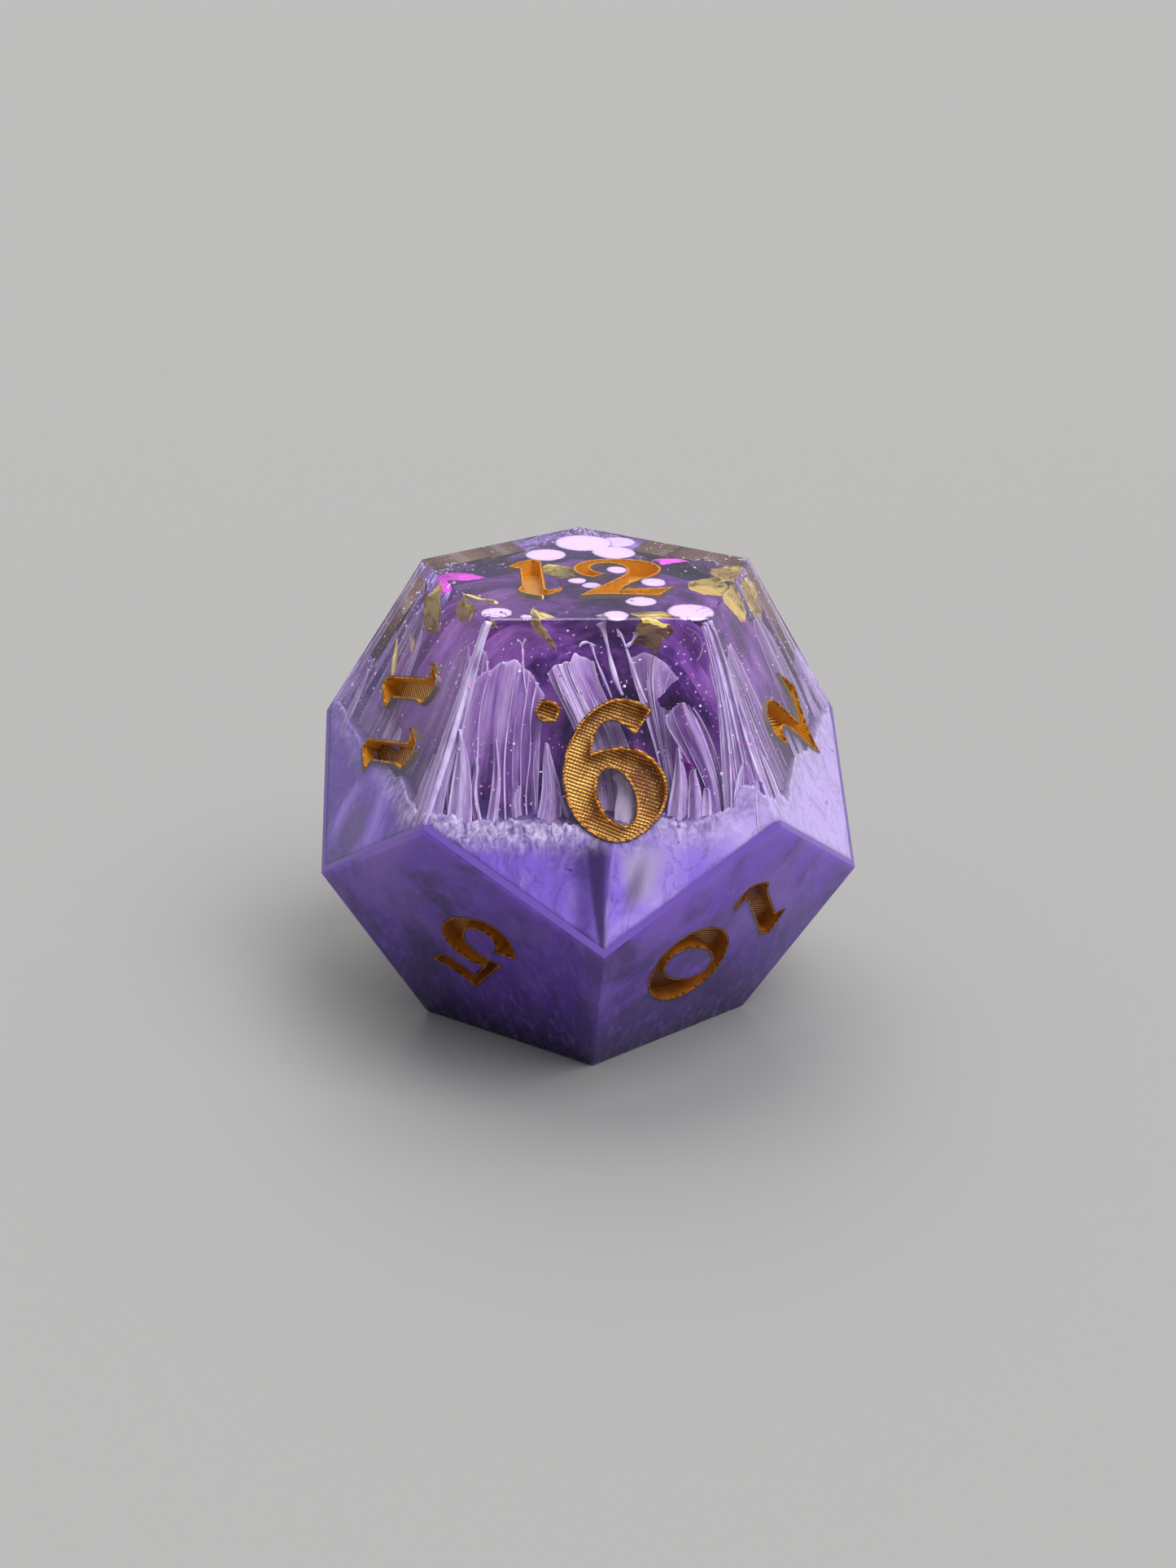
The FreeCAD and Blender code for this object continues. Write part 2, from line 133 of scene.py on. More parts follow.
def gridFaces(rows, columns, closed=False, first=0):
    # quads between neighbouring rows and columns of a grid; closed joins the last column to the first
    span = columns if closed else columns - 1
    row, column = np.meshgrid(np.arange(rows - 1), np.arange(span), indexing="ij")
    after = (column + 1) % columns
    quads = [row * columns + column, row * columns + after,
             (row + 1) * columns + after, (row + 1) * columns + column]
    return np.stack(quads, axis=-1).reshape(-1, 4) + first


def smoothNoise(rng, count, terms, *axes):
    # a sum of sines with random directions and phases, about -1 to 1, as smooth as the terms are few
    total = 0.0
    for _ in range(count):
        weights = rng.uniform(-terms, terms, len(axes))
        total = total + np.sin(sum(w * a for w, a in zip(weights, axes)) + rng.uniform(0, 2 * math.pi))
    return total / math.sqrt(count)


def outward(piece):
    # makes every face of a closed mesh point out
    work = bmesh.new()
    work.from_mesh(piece.data)
    bmesh.ops.remove_doubles(work, verts=work.verts, dist=1e-8)
    bmesh.ops.recalc_face_normals(work, faces=work.faces)
    work.to_mesh(piece.data)
    work.free()
    return piece


def finishPiece(piece, slot, *replaced):
    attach(piece, "root")
    if replaced:
        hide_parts(*replaced)


# material helpers
class Tree:
    # short ways to add nodes to a material's tree or to a node group's
    def __init__(self, tree):
        self.nodes, self.links = tree.nodes, tree.links

    def add(self, kind, **settings):
        node = self.nodes.new(kind)
        for key, value in settings.items():
            setattr(node, key, value)
        return node

    def put(self, socket, value):
        if hasattr(value, "links"):
            self.links.new(value, socket)
        else:
            socket.default_value = value

    def math(self, operation, first, second=0.0, clamp=False):
        node = self.add("ShaderNodeMath", operation=operation, use_clamp=clamp)
        self.put(node.inputs[0], first)
        self.put(node.inputs[1], second)
        return node.outputs[0]

    def dot(self, first, second):
        node = self.add("ShaderNodeVectorMath", operation="DOT_PRODUCT")
        self.put(node.inputs[0], first)
        self.put(node.inputs[1], second)
        return node.outputs["Value"]

    def group(self, name, values):
        node = self.add("ShaderNodeGroup", node_tree=bpy.data.node_groups[name])
        for label, value in values.items():
            self.put(node.inputs[label], value)
        return node.outputs

    def streaks(self, stretch, scale, detail=3.0, rough=0.5, distort=0.0, vector=None):
        values = (self.place if vector is None else vector, stretch, scale, detail, rough, distort)
        return self.group("inkStreaks", dict(zip(streakInputs, values)))["Value"]

    def ramp(self, value, stops):
        node = self.add("ShaderNodeValToRGB")
        elements = node.color_ramp.elements
        while len(elements) < len(stops):
            elements.new(0.5)
        for element, (place, colour) in zip(elements, stops):
            element.position = place
            element.color = (*colour, 1.0) if len(colour) == 3 else colour
        self.put(node.inputs[0], value)
        return node.outputs[0]

    def mix(self, amount, first, second, blend="MIX"):
        node = self.add("ShaderNodeMix", data_type="RGBA", blend_type=blend)
        self.put(node.inputs[0], amount)
        self.put(node.inputs[6], first if hasattr(first, "links") else (*first, 1.0))
        self.put(node.inputs[7], second if hasattr(second, "links") else (*second, 1.0))
        return node.outputs[2]

    def mask(self, value, low, high, most):
        # black up to the low value, then rising to a grey at the high one
        return self.ramp(value, [(low, (0, 0, 0)), (high, (most, most, most))])


class Recipe(Tree):
    # a material, its shader and the object's own coordinates
    def __init__(self, name):
        self.material = bpy.data.materials.new(name)
        self.material.use_nodes = True
        super().__init__(self.material.node_tree)
        self.shader = self.nodes["Principled BSDF"]
        self.place = self.add("ShaderNodeTexCoord").outputs["Object"]

    def attribute(self, name):
        return self.add("ShaderNodeAttribute", attribute_name=name).outputs["Fac"]

    def height(self):
        node = self.add("ShaderNodeSeparateXYZ")
        self.put(node.inputs[0], self.place)
        return node.outputs[2]

    def bump(self, height, distance, strength=1.0):
        node = self.add("ShaderNodeBump")
        self.put(node.inputs["Height"], height)
        node.inputs["Distance"].default_value = distance
        node.inputs["Strength"].default_value = strength
        self.put(self.shader.inputs["Normal"], node.outputs[0])

    def colour(self, value):
        self.put(self.shader.inputs["Base Color"], value if hasattr(value, "links") else (*value, 1.0))

    def finish(self, **plain):
        names = {"rough": "Roughness", "metal": "Metallic", "ior": "IOR", "clear": "Transmission Weight",
                 "shine": "Specular IOR Level"}
        for key, value in plain.items():
            self.put(self.shader.inputs[names[key]], value)
        return self.material


# node groups that more than one material uses
streakInputs = {"Vector": "Vector", "Stretch": "Float", "Scale": "Float", "Detail": "Float", "Roughness": "Float",
                "Distortion": "Float"}


def makeGroup(name, inputs, outputs):
    # an empty node group with named sockets, each given with its kind
    tree = bpy.data.node_groups.new(name, "ShaderNodeTree")
    for way, sockets in (("INPUT", inputs), ("OUTPUT", outputs)):
        for label, kind in sockets.items():
            tree.interface.new_socket(name=label, in_out=way, socket_type="NodeSocket" + kind)
    group = Tree(tree)
    return group, group.add("NodeGroupInput").outputs, group.add("NodeGroupOutput").inputs


def makeStreakGroup():
    # noise of the place times (1, 1, stretch): a stretch below 1 draws the grain out along z
    group, entry, leave = makeGroup("inkStreaks", streakInputs, {"Value": "Float"})
    ways = group.add("ShaderNodeCombineXYZ")
    ways.inputs[0].default_value = ways.inputs[1].default_value = 1.0
    group.put(ways.inputs[2], entry["Stretch"])
    drawn = group.add("ShaderNodeVectorMath", operation="MULTIPLY")
    group.put(drawn.inputs[0], entry["Vector"])
    group.put(drawn.inputs[1], ways.outputs[0])
    noise = group.add("ShaderNodeTexNoise")
    group.put(noise.inputs["Vector"], drawn.outputs[0])
    for label in ("Scale", "Detail", "Roughness", "Distortion"):
        group.put(noise.inputs[label], entry[label])
    group.put(leave["Value"], noise.outputs[0])


# sparkle is the colour of painted glints; lower darkens the numerals on the lower faces as painted shade
goldPaint = {"floor": (0.95, 0.52, 0.06), "groove": (0.20, 0.065, 0.014), "rim": (0.78, 0.34, 0.03),
             "hatchPitch": 0.140, "beadPitch": 0.13, "hatchLean": -20, "sparkle": (1.0, 0.80, 0.26),
             "back": (0.15, 0.085, 0.055), "metal": 0.35, "lower": (0.62, 0.46, 0.52)}


def makeHatchGroup():
    # grooves at a slant with beads along them, darkened in patches as painted dark reflections, and bright specks
    # painted as glints on their crests
    group, entry, leave = makeGroup("goldHatch", {"Place": "Vector", "Across": "Vector", "Beside": "Vector"},
                                    {"Wave": "Float", "Glint": "Float", "Color": "Color"})
    group.place = entry["Place"]
    wander = group.math("MULTIPLY", group.streaks(1, 500, 3, 0.5), 6.0)
    turns = 2 * math.pi / (goldPaint["hatchPitch"] * mm)
    phase = group.math("ADD", group.math("MULTIPLY", group.dot(group.place, entry["Across"]), turns), wander)
    wave = group.math("ADD", group.math("MULTIPLY", group.math("SINE", phase), 0.5), 0.5)
    wander = group.math("MULTIPLY", group.streaks(1, 2500, 2, 0.5), 14.0)
    turns = 2 * math.pi / (goldPaint["beadPitch"] * mm)
    beads = group.math("ADD", group.math("MULTIPLY", group.dot(group.place, entry["Beside"]), turns), wander)
    swell = group.math("ADD", group.math("MULTIPLY", group.math("SINE", beads), 0.24), 0.85)
    wave = group.math("MULTIPLY", wave, swell)
    # the dark patches are painted dark reflections on the metallic paint
    patch = group.math("SUBTRACT", group.math("MULTIPLY", group.streaks(1, 430, 4, 0.65), 5.2), 1.85)
    glint = group.streaks(1, 5200, 2, 0.6)
    hatched = group.ramp(group.math("MULTIPLY", wave, patch), [
        (0.10, goldPaint["groove"]), (0.40, (0.45, 0.20, 0.03)), (0.62, goldPaint["floor"]),
        (0.90, goldPaint["sparkle"])])
    # painted glints: bright specks where the glint noise is high on a crest
    sparkle = group.mask(group.math("MULTIPLY", glint, wave), 0.50, 0.56, 1)
    group.put(leave["Wave"], wave)
    group.put(leave["Glint"], glint)
    group.put(leave["Color"], group.mix(sparkle, hatched, goldPaint["sparkle"]))


makeStreakGroup()
makeHatchGroup()


# materials
clearResin = {"tint": (0.88, 0.80, 0.96), "ior": 1.5, "rough": 0.0}


def makeClearResin():
    r = Recipe("clearResin")
    r.colour(clearResin["tint"])
    return r.finish(rough=clearResin["rough"], clear=1.0, ior=clearResin["ior"])


# pearl colours from the foot up: darker towards the foot as painted shade, and a paler colour for the painted
# sheen near the top
pearl = {"top": (0.350, 0.125, 0.900), "middle": (0.170, 0.045, 0.560), "foot": (0.020, 0.004, 0.100),
         "streak": (0.46, 0.24, 0.92), "swirl": (0.050, 0.010, 0.200), "sheen": (0.50, 0.28, 0.92),
         "rim": (0.17, 0.095, 0.40)}


def makePearl():
    # painted shade darkens it towards the foot; fine streaks run down the slope, with dark swirls, and paler
    # clouds grow towards the top as a painted sheen;
    # the thin rim of the pearl layer behind an upper face has the pool's colour
    r = Recipe("purplePearl")
    level = r.math("DIVIDE", r.height(), 11.0 * mm, clamp=True)
    # painted shade: darker from the top of the lower faces down to the foot
    base = r.ramp(level, [(0.02, pearl["foot"]), (0.36, pearl["middle"]), (0.9, pearl["top"])])
    fine = r.streaks(0.10, 3000, 4, 0.65, 0.3)
    broad = r.streaks(0.5, 260, 5, 0.6, 1.8)
    sheen = r.streaks(0.3, 190, 4, 0.55, 1.4)
    colour = r.mix(r.mask(fine, 0.48, 0.74, 0.55), base, pearl["streak"])
    colour = r.mix(r.mask(broad, 0.46, 0.66, 0.85), colour, pearl["swirl"])
    # the paler clouds are weighted by height, a painted sheen that is stronger towards the top
    sheenByHeight = r.math("MULTIPLY", r.mask(sheen, 0.46, 0.70, 0.9), level)
    colour = r.mix(sheenByHeight, colour, pearl["sheen"])
    separate = r.add("ShaderNodeSeparateXYZ")
    r.put(separate.inputs[0], r.add("ShaderNodeNewGeometry").outputs["Normal"])
    rim = r.math("GREATER_THAN", separate.outputs[2], 0.3)
    r.colour(r.mix(rim, colour, pearl["rim"]))
    return r.finish(rough=0.7, shine=0.05)


poolColours = {"blue": (0.26, 0.155, 0.62), "pale": (0.40, 0.29, 0.68), "grey": (0.36, 0.31, 0.45),
               "dark": (0.028, 0.010, 0.080), "inside": (0.075, 0.035, 0.170), "white": (0.52, 0.43, 0.72)}


def makePool():
    r = Recipe("lavenderInk")
    clouds = r.streaks(0.7, 230, 5, 0.55, 1.6)
    pale = r.math("ADD", r.math("MULTIPLY", clouds, 1.5), r.math("SUBTRACT", r.attribute("pale"), 0.80))
    colour = r.ramp(pale, [(0.10, (0.15, 0.075, 0.40)), (0.38, poolColours["blue"]),
                           (0.72, poolColours["pale"]), (0.98, poolColours["white"])])
    wisps = r.streaks(0.45, 620, 4, 0.6, 2.6)
    colour = r.mix(r.mask(wisps, 0.55, 0.75, 0.55), colour, poolColours["grey"])
    curls = r.math("ABSOLUTE", r.math("SUBTRACT", r.streaks(0.6, 330, 3, 0.5, 3.0), 0.5))
    colour = r.mix(r.ramp(curls, [(0.0, (0.28, 0.28, 0.28)), (0.03, (0, 0, 0))]), colour, poolColours["dark"])
    # darkens the pool along the wedge and along the painted shadow beside it
    colour = r.mix(r.attribute("wedgeAndShadow"), colour, poolColours["dark"])
    colour = r.mix(r.attribute("patch"), colour, (0.40, 0.37, 0.50))
    colour = r.mix(r.attribute("line"), colour, (0.50, 0.40, 0.72))
    colour = r.mix(r.attribute("core"), colour, (0.16, 0.13, 0.21))
    frill = r.streaks(0.35, 3000, 4, 0.7, 0.7)
    mossy = r.ramp(frill, [(0.36, (0.12, 0.08, 0.24)), (0.50, (0.34, 0.29, 0.46)), (0.64, (0.62, 0.58, 0.72))])
    colour = r.mix(r.attribute("frill"), colour, mossy)
    holes = r.streaks(1, 2100, 1, 0.5)
    colour = r.mix(r.mask(holes, 0.76, 0.80, 0.7), colour, poolColours["dark"])
    r.colour(r.mix(r.attribute("inside"), colour, poolColours["inside"]))
    r.bump(frill, 0.05 * mm, 0.5)
    return r.finish(rough=0.7, shine=0.05)


veilInk = {"deep": (0.21, 0.09, 0.37), "purple": (0.37, 0.21, 0.54), "lavender": (0.53, 0.40, 0.67),
           "pale": (0.82, 0.73, 0.94), "finePerMm": 6.0, "broadPerMm": 1.6}


def makeVeil():
    # streaks run along the curtain's own flow: much finer across it than along it
    r = Recipe("veilInk")
    flow = r.add("ShaderNodeCombineXYZ")
    r.put(flow.inputs[0], r.attribute("flowAcross"))
    r.put(flow.inputs[1], r.math("MULTIPLY", r.attribute("flowAlong"), 0.10))
    fine = r.streaks(1, veilInk["finePerMm"], 3, 0.65, 0.15, flow.outputs[0])
    broad = r.streaks(1, veilInk["broadPerMm"], 2, 0.5, 0.3, flow.outputs[0])
    tone = r.math("ADD", r.math("MULTIPLY", fine, 0.42), r.math("MULTIPLY", broad, 0.72))
    tone = r.math("ADD", tone, r.math("MULTIPLY", r.attribute("pleat"), 0.06))
    tone = r.math("ADD", tone, r.math("MULTIPLY", r.attribute("edge"), 0.26))
    tone = r.math("ADD", tone, r.attribute("paler"))
    r.colour(r.ramp(tone, [(0.38, veilInk["deep"]), (0.50, veilInk["purple"]), (0.66, veilInk["lavender"]),
                           (0.92, veilInk["pale"])]))
    cover = r.math("ADD", r.math("SUBTRACT", r.attribute("body"), 0.5), tone)
    cover = r.math("MULTIPLY", r.math("SUBTRACT", cover, 0.36), 1.35, clamp=True)
    r.put(r.shader.inputs["Alpha"], cover)
    return r.finish(rough=0.6, shine=0.1)


def makeStrand():
    r = Recipe("strandInk")
    streak = r.streaks(0.2, 2500, 2, 0.5)
    r.colour(r.ramp(streak, [(0.3, (0.46, 0.34, 0.62)), (0.55, (0.68, 0.58, 0.82)), (0.8, (0.86, 0.79, 0.95))]))
    return r.finish(rough=0.5, shine=0.15)


def makeCloud():
    r = Recipe("violetCloud")
    streak = r.streaks(0.12, 2200, 4, 0.65)
    broad = r.streaks(0.5, 360, 3, 0.5, 0.8)
    both = r.math("ADD", r.math("MULTIPLY", streak, 0.35), r.math("MULTIPLY", broad, 0.75))
    both = r.math("SUBTRACT", both, r.math("MULTIPLY", r.attribute("dark"), 0.20))
    r.colour(r.ramp(both, [(0.28, (0.050, 0.012, 0.12)), (0.42, (0.170, 0.055, 0.29)),
                           (0.58, (0.29, 0.120, 0.44)), (0.76, (0.36, 0.20, 0.52))]))
    return r.finish(rough=0.7, shine=0.05)


def makeDisc():
    r = Recipe("whiteInk")
    wander = r.streaks(1, 700, 2, 0.5, 1.5)
    line = r.math("ABSOLUTE", r.math("SUBTRACT", wander, 0.5))
    gate = r.streaks(1, 900, 2, 0.5)
    drawn = r.math("MULTIPLY", r.math("LESS_THAN", line, 0.012), r.math("GREATER_THAN", gate, 0.46))
    drawn = r.math("MULTIPLY", drawn, r.attribute("marks"))
    r.colour(r.mix(drawn, (0.62, 0.49, 0.72), (0.06, 0.03, 0.14)))
    return r.finish(rough=0.45)


def makeLeaf(name, dark, bright, metal):
    r = Recipe(name)
    crumple = r.streaks(1, 1500, 4, 0.6, 0.5)
    # the crumples go from the dark to the bright colour: painted dark reflections and painted highlights on the
    # leaf
    r.colour(r.ramp(crumple, [(0.36, dark), (0.52, bright)]))
    r.bump(crumple, 0.12 * mm, 0.9)
    return r.finish(rough=0.25, metal=metal)


def makeGoldPaint(name, level, azimuth):
    # hatched floor, smooth orange walls: the two are told apart by the face that the numeral is sunk in
    r = Recipe("goldPaint" + name)
    origin, right, up, normal = faceFrame(level, azimuth)
    lean = math.radians(goldPaint["hatchLean"])
    floor = r.math("GREATER_THAN", r.dot(r.add("ShaderNodeNewGeometry").outputs["Normal"], normal), 0.7)
    hatch = r.group("goldHatch", {"Place": r.place, "Across": right * -math.sin(lean) + up * math.cos(lean),
                                  "Beside": right * math.cos(lean) + up * math.sin(lean)})
    walls = r.ramp(r.streaks(1, 1400, 3, 0.6), [(0.3, (0.50, 0.19, 0.015)), (0.7, goldPaint["rim"])])
    behind = r.math("GREATER_THAN", r.add("ShaderNodeLightPath").outputs["Transmission Depth"], 0.5)
    # painted glints along the recess rim, from the same glint noise
    rimGlint = r.ramp(hatch["Glint"], [(0.40, goldPaint["groove"]), (0.60, goldPaint["rim"])])
    onRim = r.math("GREATER_THAN", r.dot(r.place, normal), float(origin @ normal) - 0.1 * mm)
    surface = r.mix(onRim, r.mix(floor, walls, hatch["Color"]), rimGlint)
    if level == "top":
        surface = r.mix(0.5, surface, (0.86, 0.42, 0.07))
    # painted shade: the numerals on the lower faces are darker
    if level == "lower":
        surface = r.mix(1.0, surface, goldPaint["lower"], "MULTIPLY")
    r.colour(r.mix(behind, surface, goldPaint["back"]))
    grooves = r.math("ADD", r.math("MULTIPLY", hatch["Wave"], 0.6), r.math("MULTIPLY", hatch["Glint"], 0.5))
    r.bump(grooves, 0.03 * mm, 0.7)
    r.put(r.shader.inputs["Metallic"], r.math("MULTIPLY", floor, goldPaint["metal"]))
    return r.finish(rough=0.36)


# clear skin with the sunk numerals
skin = {"clearDepth": 0.84, "edgeRound": 0.07, "paintShare": 0.045, "lip": 0.3, "belowFloor": 0.05,
        "margin": 0.2, "chunk": 4000}
numeralFaces = {
    "12": ("top", 0), "09": ("upper", 0), "07": ("upper", 72), "08": ("upper", 144), "03": ("upper", 216),
    "11": ("upper", 288), "10": ("lower", 36), "02": ("lower", 108), "04": ("lower", 180),
    "06": ("lower", 252), "05": ("lower", 324), "01": ("bottom", 0),
}


def numeralCutter(name, level, azimuth):
    # the painted floor's outline, grown into the paint's thickness and raised to past the face
    origin, right, up, normal = faceFrame(level, azimuth)
    work = bmesh.new()
    work.from_mesh(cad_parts["numeral_paint_" + name].data)
    bmesh.ops.remove_doubles(work, verts=work.verts, dist=1e-7)
    work.normal_update()
    outer = Vector(normal)
    flat = [face for face in work.faces if face.normal.dot(outer) > 0.999]
    depths = [(face.calc_center_median() - Vector(origin)).dot(outer) for face in flat]
    floorDepth = min(depths)
    floor = {face for face, depth in zip(flat, depths) if depth < floorDepth + 0.02 * mm}
    drop = [face for face in work.faces if face not in floor]
    bmesh.ops.delete(work, geom=drop, context="FACES")
    shifts = {}
    for vert in work.verts:
        rims = [edge for edge in vert.link_edges if len(edge.link_faces) == 1]
        sides = []
        for edge in rims:
            face = edge.link_faces[0]
            loop = next(l for l in face.loops if l.edge == edge)
            way = (loop.link_loop_next.vert.co - loop.vert.co).normalized()
            sides.append(way.cross(outer).normalized())
        if len(sides) == 2:
            both = sides[0] + sides[1]
            shifts[vert] = both / max(0.25, 1.0 + sides[0].dot(sides[1]))
    for vert, shift in shifts.items():
        vert.co += shift * skin["paintShare"] * mm
    for vert in work.verts:
        vert.co -= outer * skin["belowFloor"] * mm
    raised = bmesh.ops.extrude_face_region(work, geom=list(work.faces))
    rise = -floorDepth + (skin["belowFloor"] + skin["lip"]) * mm
    for vert in [item for item in raised["geom"] if isinstance(item, bmesh.types.BMVert)]:
        vert.co += outer * rise
    bmesh.ops.recalc_face_normals(work, faces=work.faces)
    work.normal_update()
    top = [[vert.co for vert in face.verts] for face in work.faces if face.normal.dot(outer) > 0.99]
    corners = np.array(top) - origin
    recessTriangles[name] = np.stack([corners @ right, corners @ up], axis=-1)
    return work


recessTriangles = {}


def keepClear(points):
    # a point that lies in a numeral's recess or its paint goes straight down to below the painted floor
    moved = np.array(points, dtype=float)
    flat = moved.reshape(-1, 3)
    margin = skin["margin"] * mm
    for name, (level, azimuth) in numeralFaces.items():
        origin, right, up, normal = faceFrame(level, azimuth)
        corners = recessTriangles[name]
        local = np.stack([(flat - origin) @ right, (flat - origin) @ up, (origin - flat) @ normal], axis=-1)
        low, high = corners.min(axis=(0, 1)) - margin, corners.max(axis=(0, 1)) + margin
        near = np.flatnonzero((local[:, :2] > low).all(axis=1) & (local[:, :2] < high).all(axis=1)
                              & (local[:, 2] < skin["clearDepth"] * mm))
        # behind the opaque lower faces a margin keeps the steps between pushed points out of the recess too
        reach = margin if level == "lower" else 0.0
        shifts = [(0, 0)] + [(a * reach, b * reach) for a in (-1, 1) for b in (-1, 1) if reach]
        for chunk in np.array_split(near, max(1, len(near) // skin["chunk"])):
            inside = np.zeros(len(chunk), dtype=bool)
            for shift in shifts:
                spot = local[chunk, None, :2] + shift
                turns = []
                for k in range(3):
                    first, second = corners[None, :, k], corners[None, :, (k + 1) % 3]
                    side = second - first
                    turns.append(side[..., 0] * (spot - first)[..., 1] - side[..., 1] * (spot - first)[..., 0])
                turns = np.stack(turns)
                inside |= ((turns >= 0).all(axis=0) | (turns <= 0).all(axis=0)).any(axis=1)
            hit = chunk[inside]
            flat[hit] -= (skin["clearDepth"] * mm - local[hit, 2])[:, None] * normal
    return flat.reshape(moved.shape)


# how far each kind of piece stays inside the faces
insets = {"veil": 0.1, "strand": 0.09, "drop": 0.05, "leaf": 0.08, "glitter": 0.2}


def tuck(points, inset):
    return keepClear(keepInside(points, inset))


def carve(body, cutters):
    # takes the numerals' recesses out of a closed mesh
    cutting = body.modifiers.new("carve", "BOOLEAN")
    cutting.operation = "DIFFERENCE"
    cutting.solver = "FAST"
    cutting.object = cutters
    carved = bpy.data.meshes.new_from_object(body.evaluated_get(bpy.context.evaluated_depsgraph_get()))
    body.modifiers.clear()
    body.data = carved


def makeCutters():
    joined = bmesh.new()
    for name, (level, azimuth) in numeralFaces.items():
        cutter = numeralCutter(name, level, azimuth)
        part = bpy.data.meshes.new("cut")
        cutter.to_mesh(part)
        cutter.free()
        joined.from_mesh(part)
        bpy.data.meshes.remove(part)
    mesh = bpy.data.meshes.new("cutters")
    joined.to_mesh(mesh)
    joined.free()
    return linked("cutters", mesh)


def makeSkin(cutters):
    # the twelve-sided body: its corners are the convex hull's, its edges get a narrow round
    ringRows = [(smallRing, 2 * innerRadius, 36), (largeRing, 2 * innerRadius - smallRing, 36),
                (largeRing, smallRing, 0), (smallRing, 0.0, 0)]
    corners = [heading(first + 72 * turn) * radius + np.array([0, 0, height + dieLow[2]])
               for radius, height, first in ringRows for turn in range(5)]
    work = bmesh.new()
    for corner in corners:
        work.verts.new(corner)
    bmesh.ops.convex_hull(work, input=work.verts)
    bmesh.ops.dissolve_limit(work, angle_limit=0.05, verts=work.verts, edges=work.edges)
    bmesh.ops.bevel(work, geom=work.edges[:], offset=skin["edgeRound"] * mm, segments=2, profile=0.5,
                    affect="EDGES")
    mesh = bpy.data.meshes.new("clearResinSkin")
    work.to_mesh(mesh)
    work.free()
    body = linked("clearResinSkin", mesh)
    body.data.materials.append(makeClearResin())
    carve(body, cutters)
    bpy.data.objects.remove(cutters)
    body.data.polygons.foreach_set("use_smooth", [False] * len(body.data.polygons))
    body.visible_shadow = False
    print("skin:", len(body.data.polygons), "faces, span", [round(v / mm, 2) for v in body.dimensions])
    return body


cutters = makeCutters()
skinPiece = makeSkin(cutters)
finishPiece(skinPiece, "clear_resin", "clear_resin_casting")

# painted numerals and pearl base keep their CAD shape
for name, (level, azimuth) in numeralFaces.items():
    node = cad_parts["numeral_paint_" + name]
    node.data.materials.clear()
    node.data.materials.append(makeGoldPaint(name, level, azimuth))
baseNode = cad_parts["purple_pearl_base"]
baseNode.data.materials.clear()
baseNode.data.materials.append(makePearl())
print("numerals and base have their finishes")

# ink pool
# mounds: azimuth, width in degrees and height in millimetres of the places where the ink has splashed up
pool = {"inset": 0.10, "lowerInset": 0.32, "sides": 900, "rows": 66, "frillBand": 1.25,
        "mounds": [(33, 3.6, 1.35), (26, 3, 0.35), (40, 4, 0.6), (-36, 5, 0.5), (66, 9, 0.5),
                   (-70, 8, 0.9), (-52, 5, 0.4), (150, 20, 0.6), (-110, 18, 0.4)]}


def wallReach(angles, height, upperInset, lowerInset):
    # how far a horizontal ray from the axis goes before it meets the nearest face's plane
    out = np.stack([np.sin(angles), -np.cos(angles)], axis=-1)
    reach = np.full(np.broadcast(angles, height).shape, 1.0)
    for normal in allNormals[2:]:
        slope = out @ normal[:2]
        inset = upperInset if normal[2] > 0 else lowerInset
        room = innerRadius - inset - normal[2] * (height - middle[2])
        reach = np.where(slope > 1e-6, np.minimum(reach, room / np.where(slope > 1e-6, slope, 1.0)), reach)
    return reach


def bump(value, centre, width):
    return np.exp(-((value - centre) / width) ** 2)


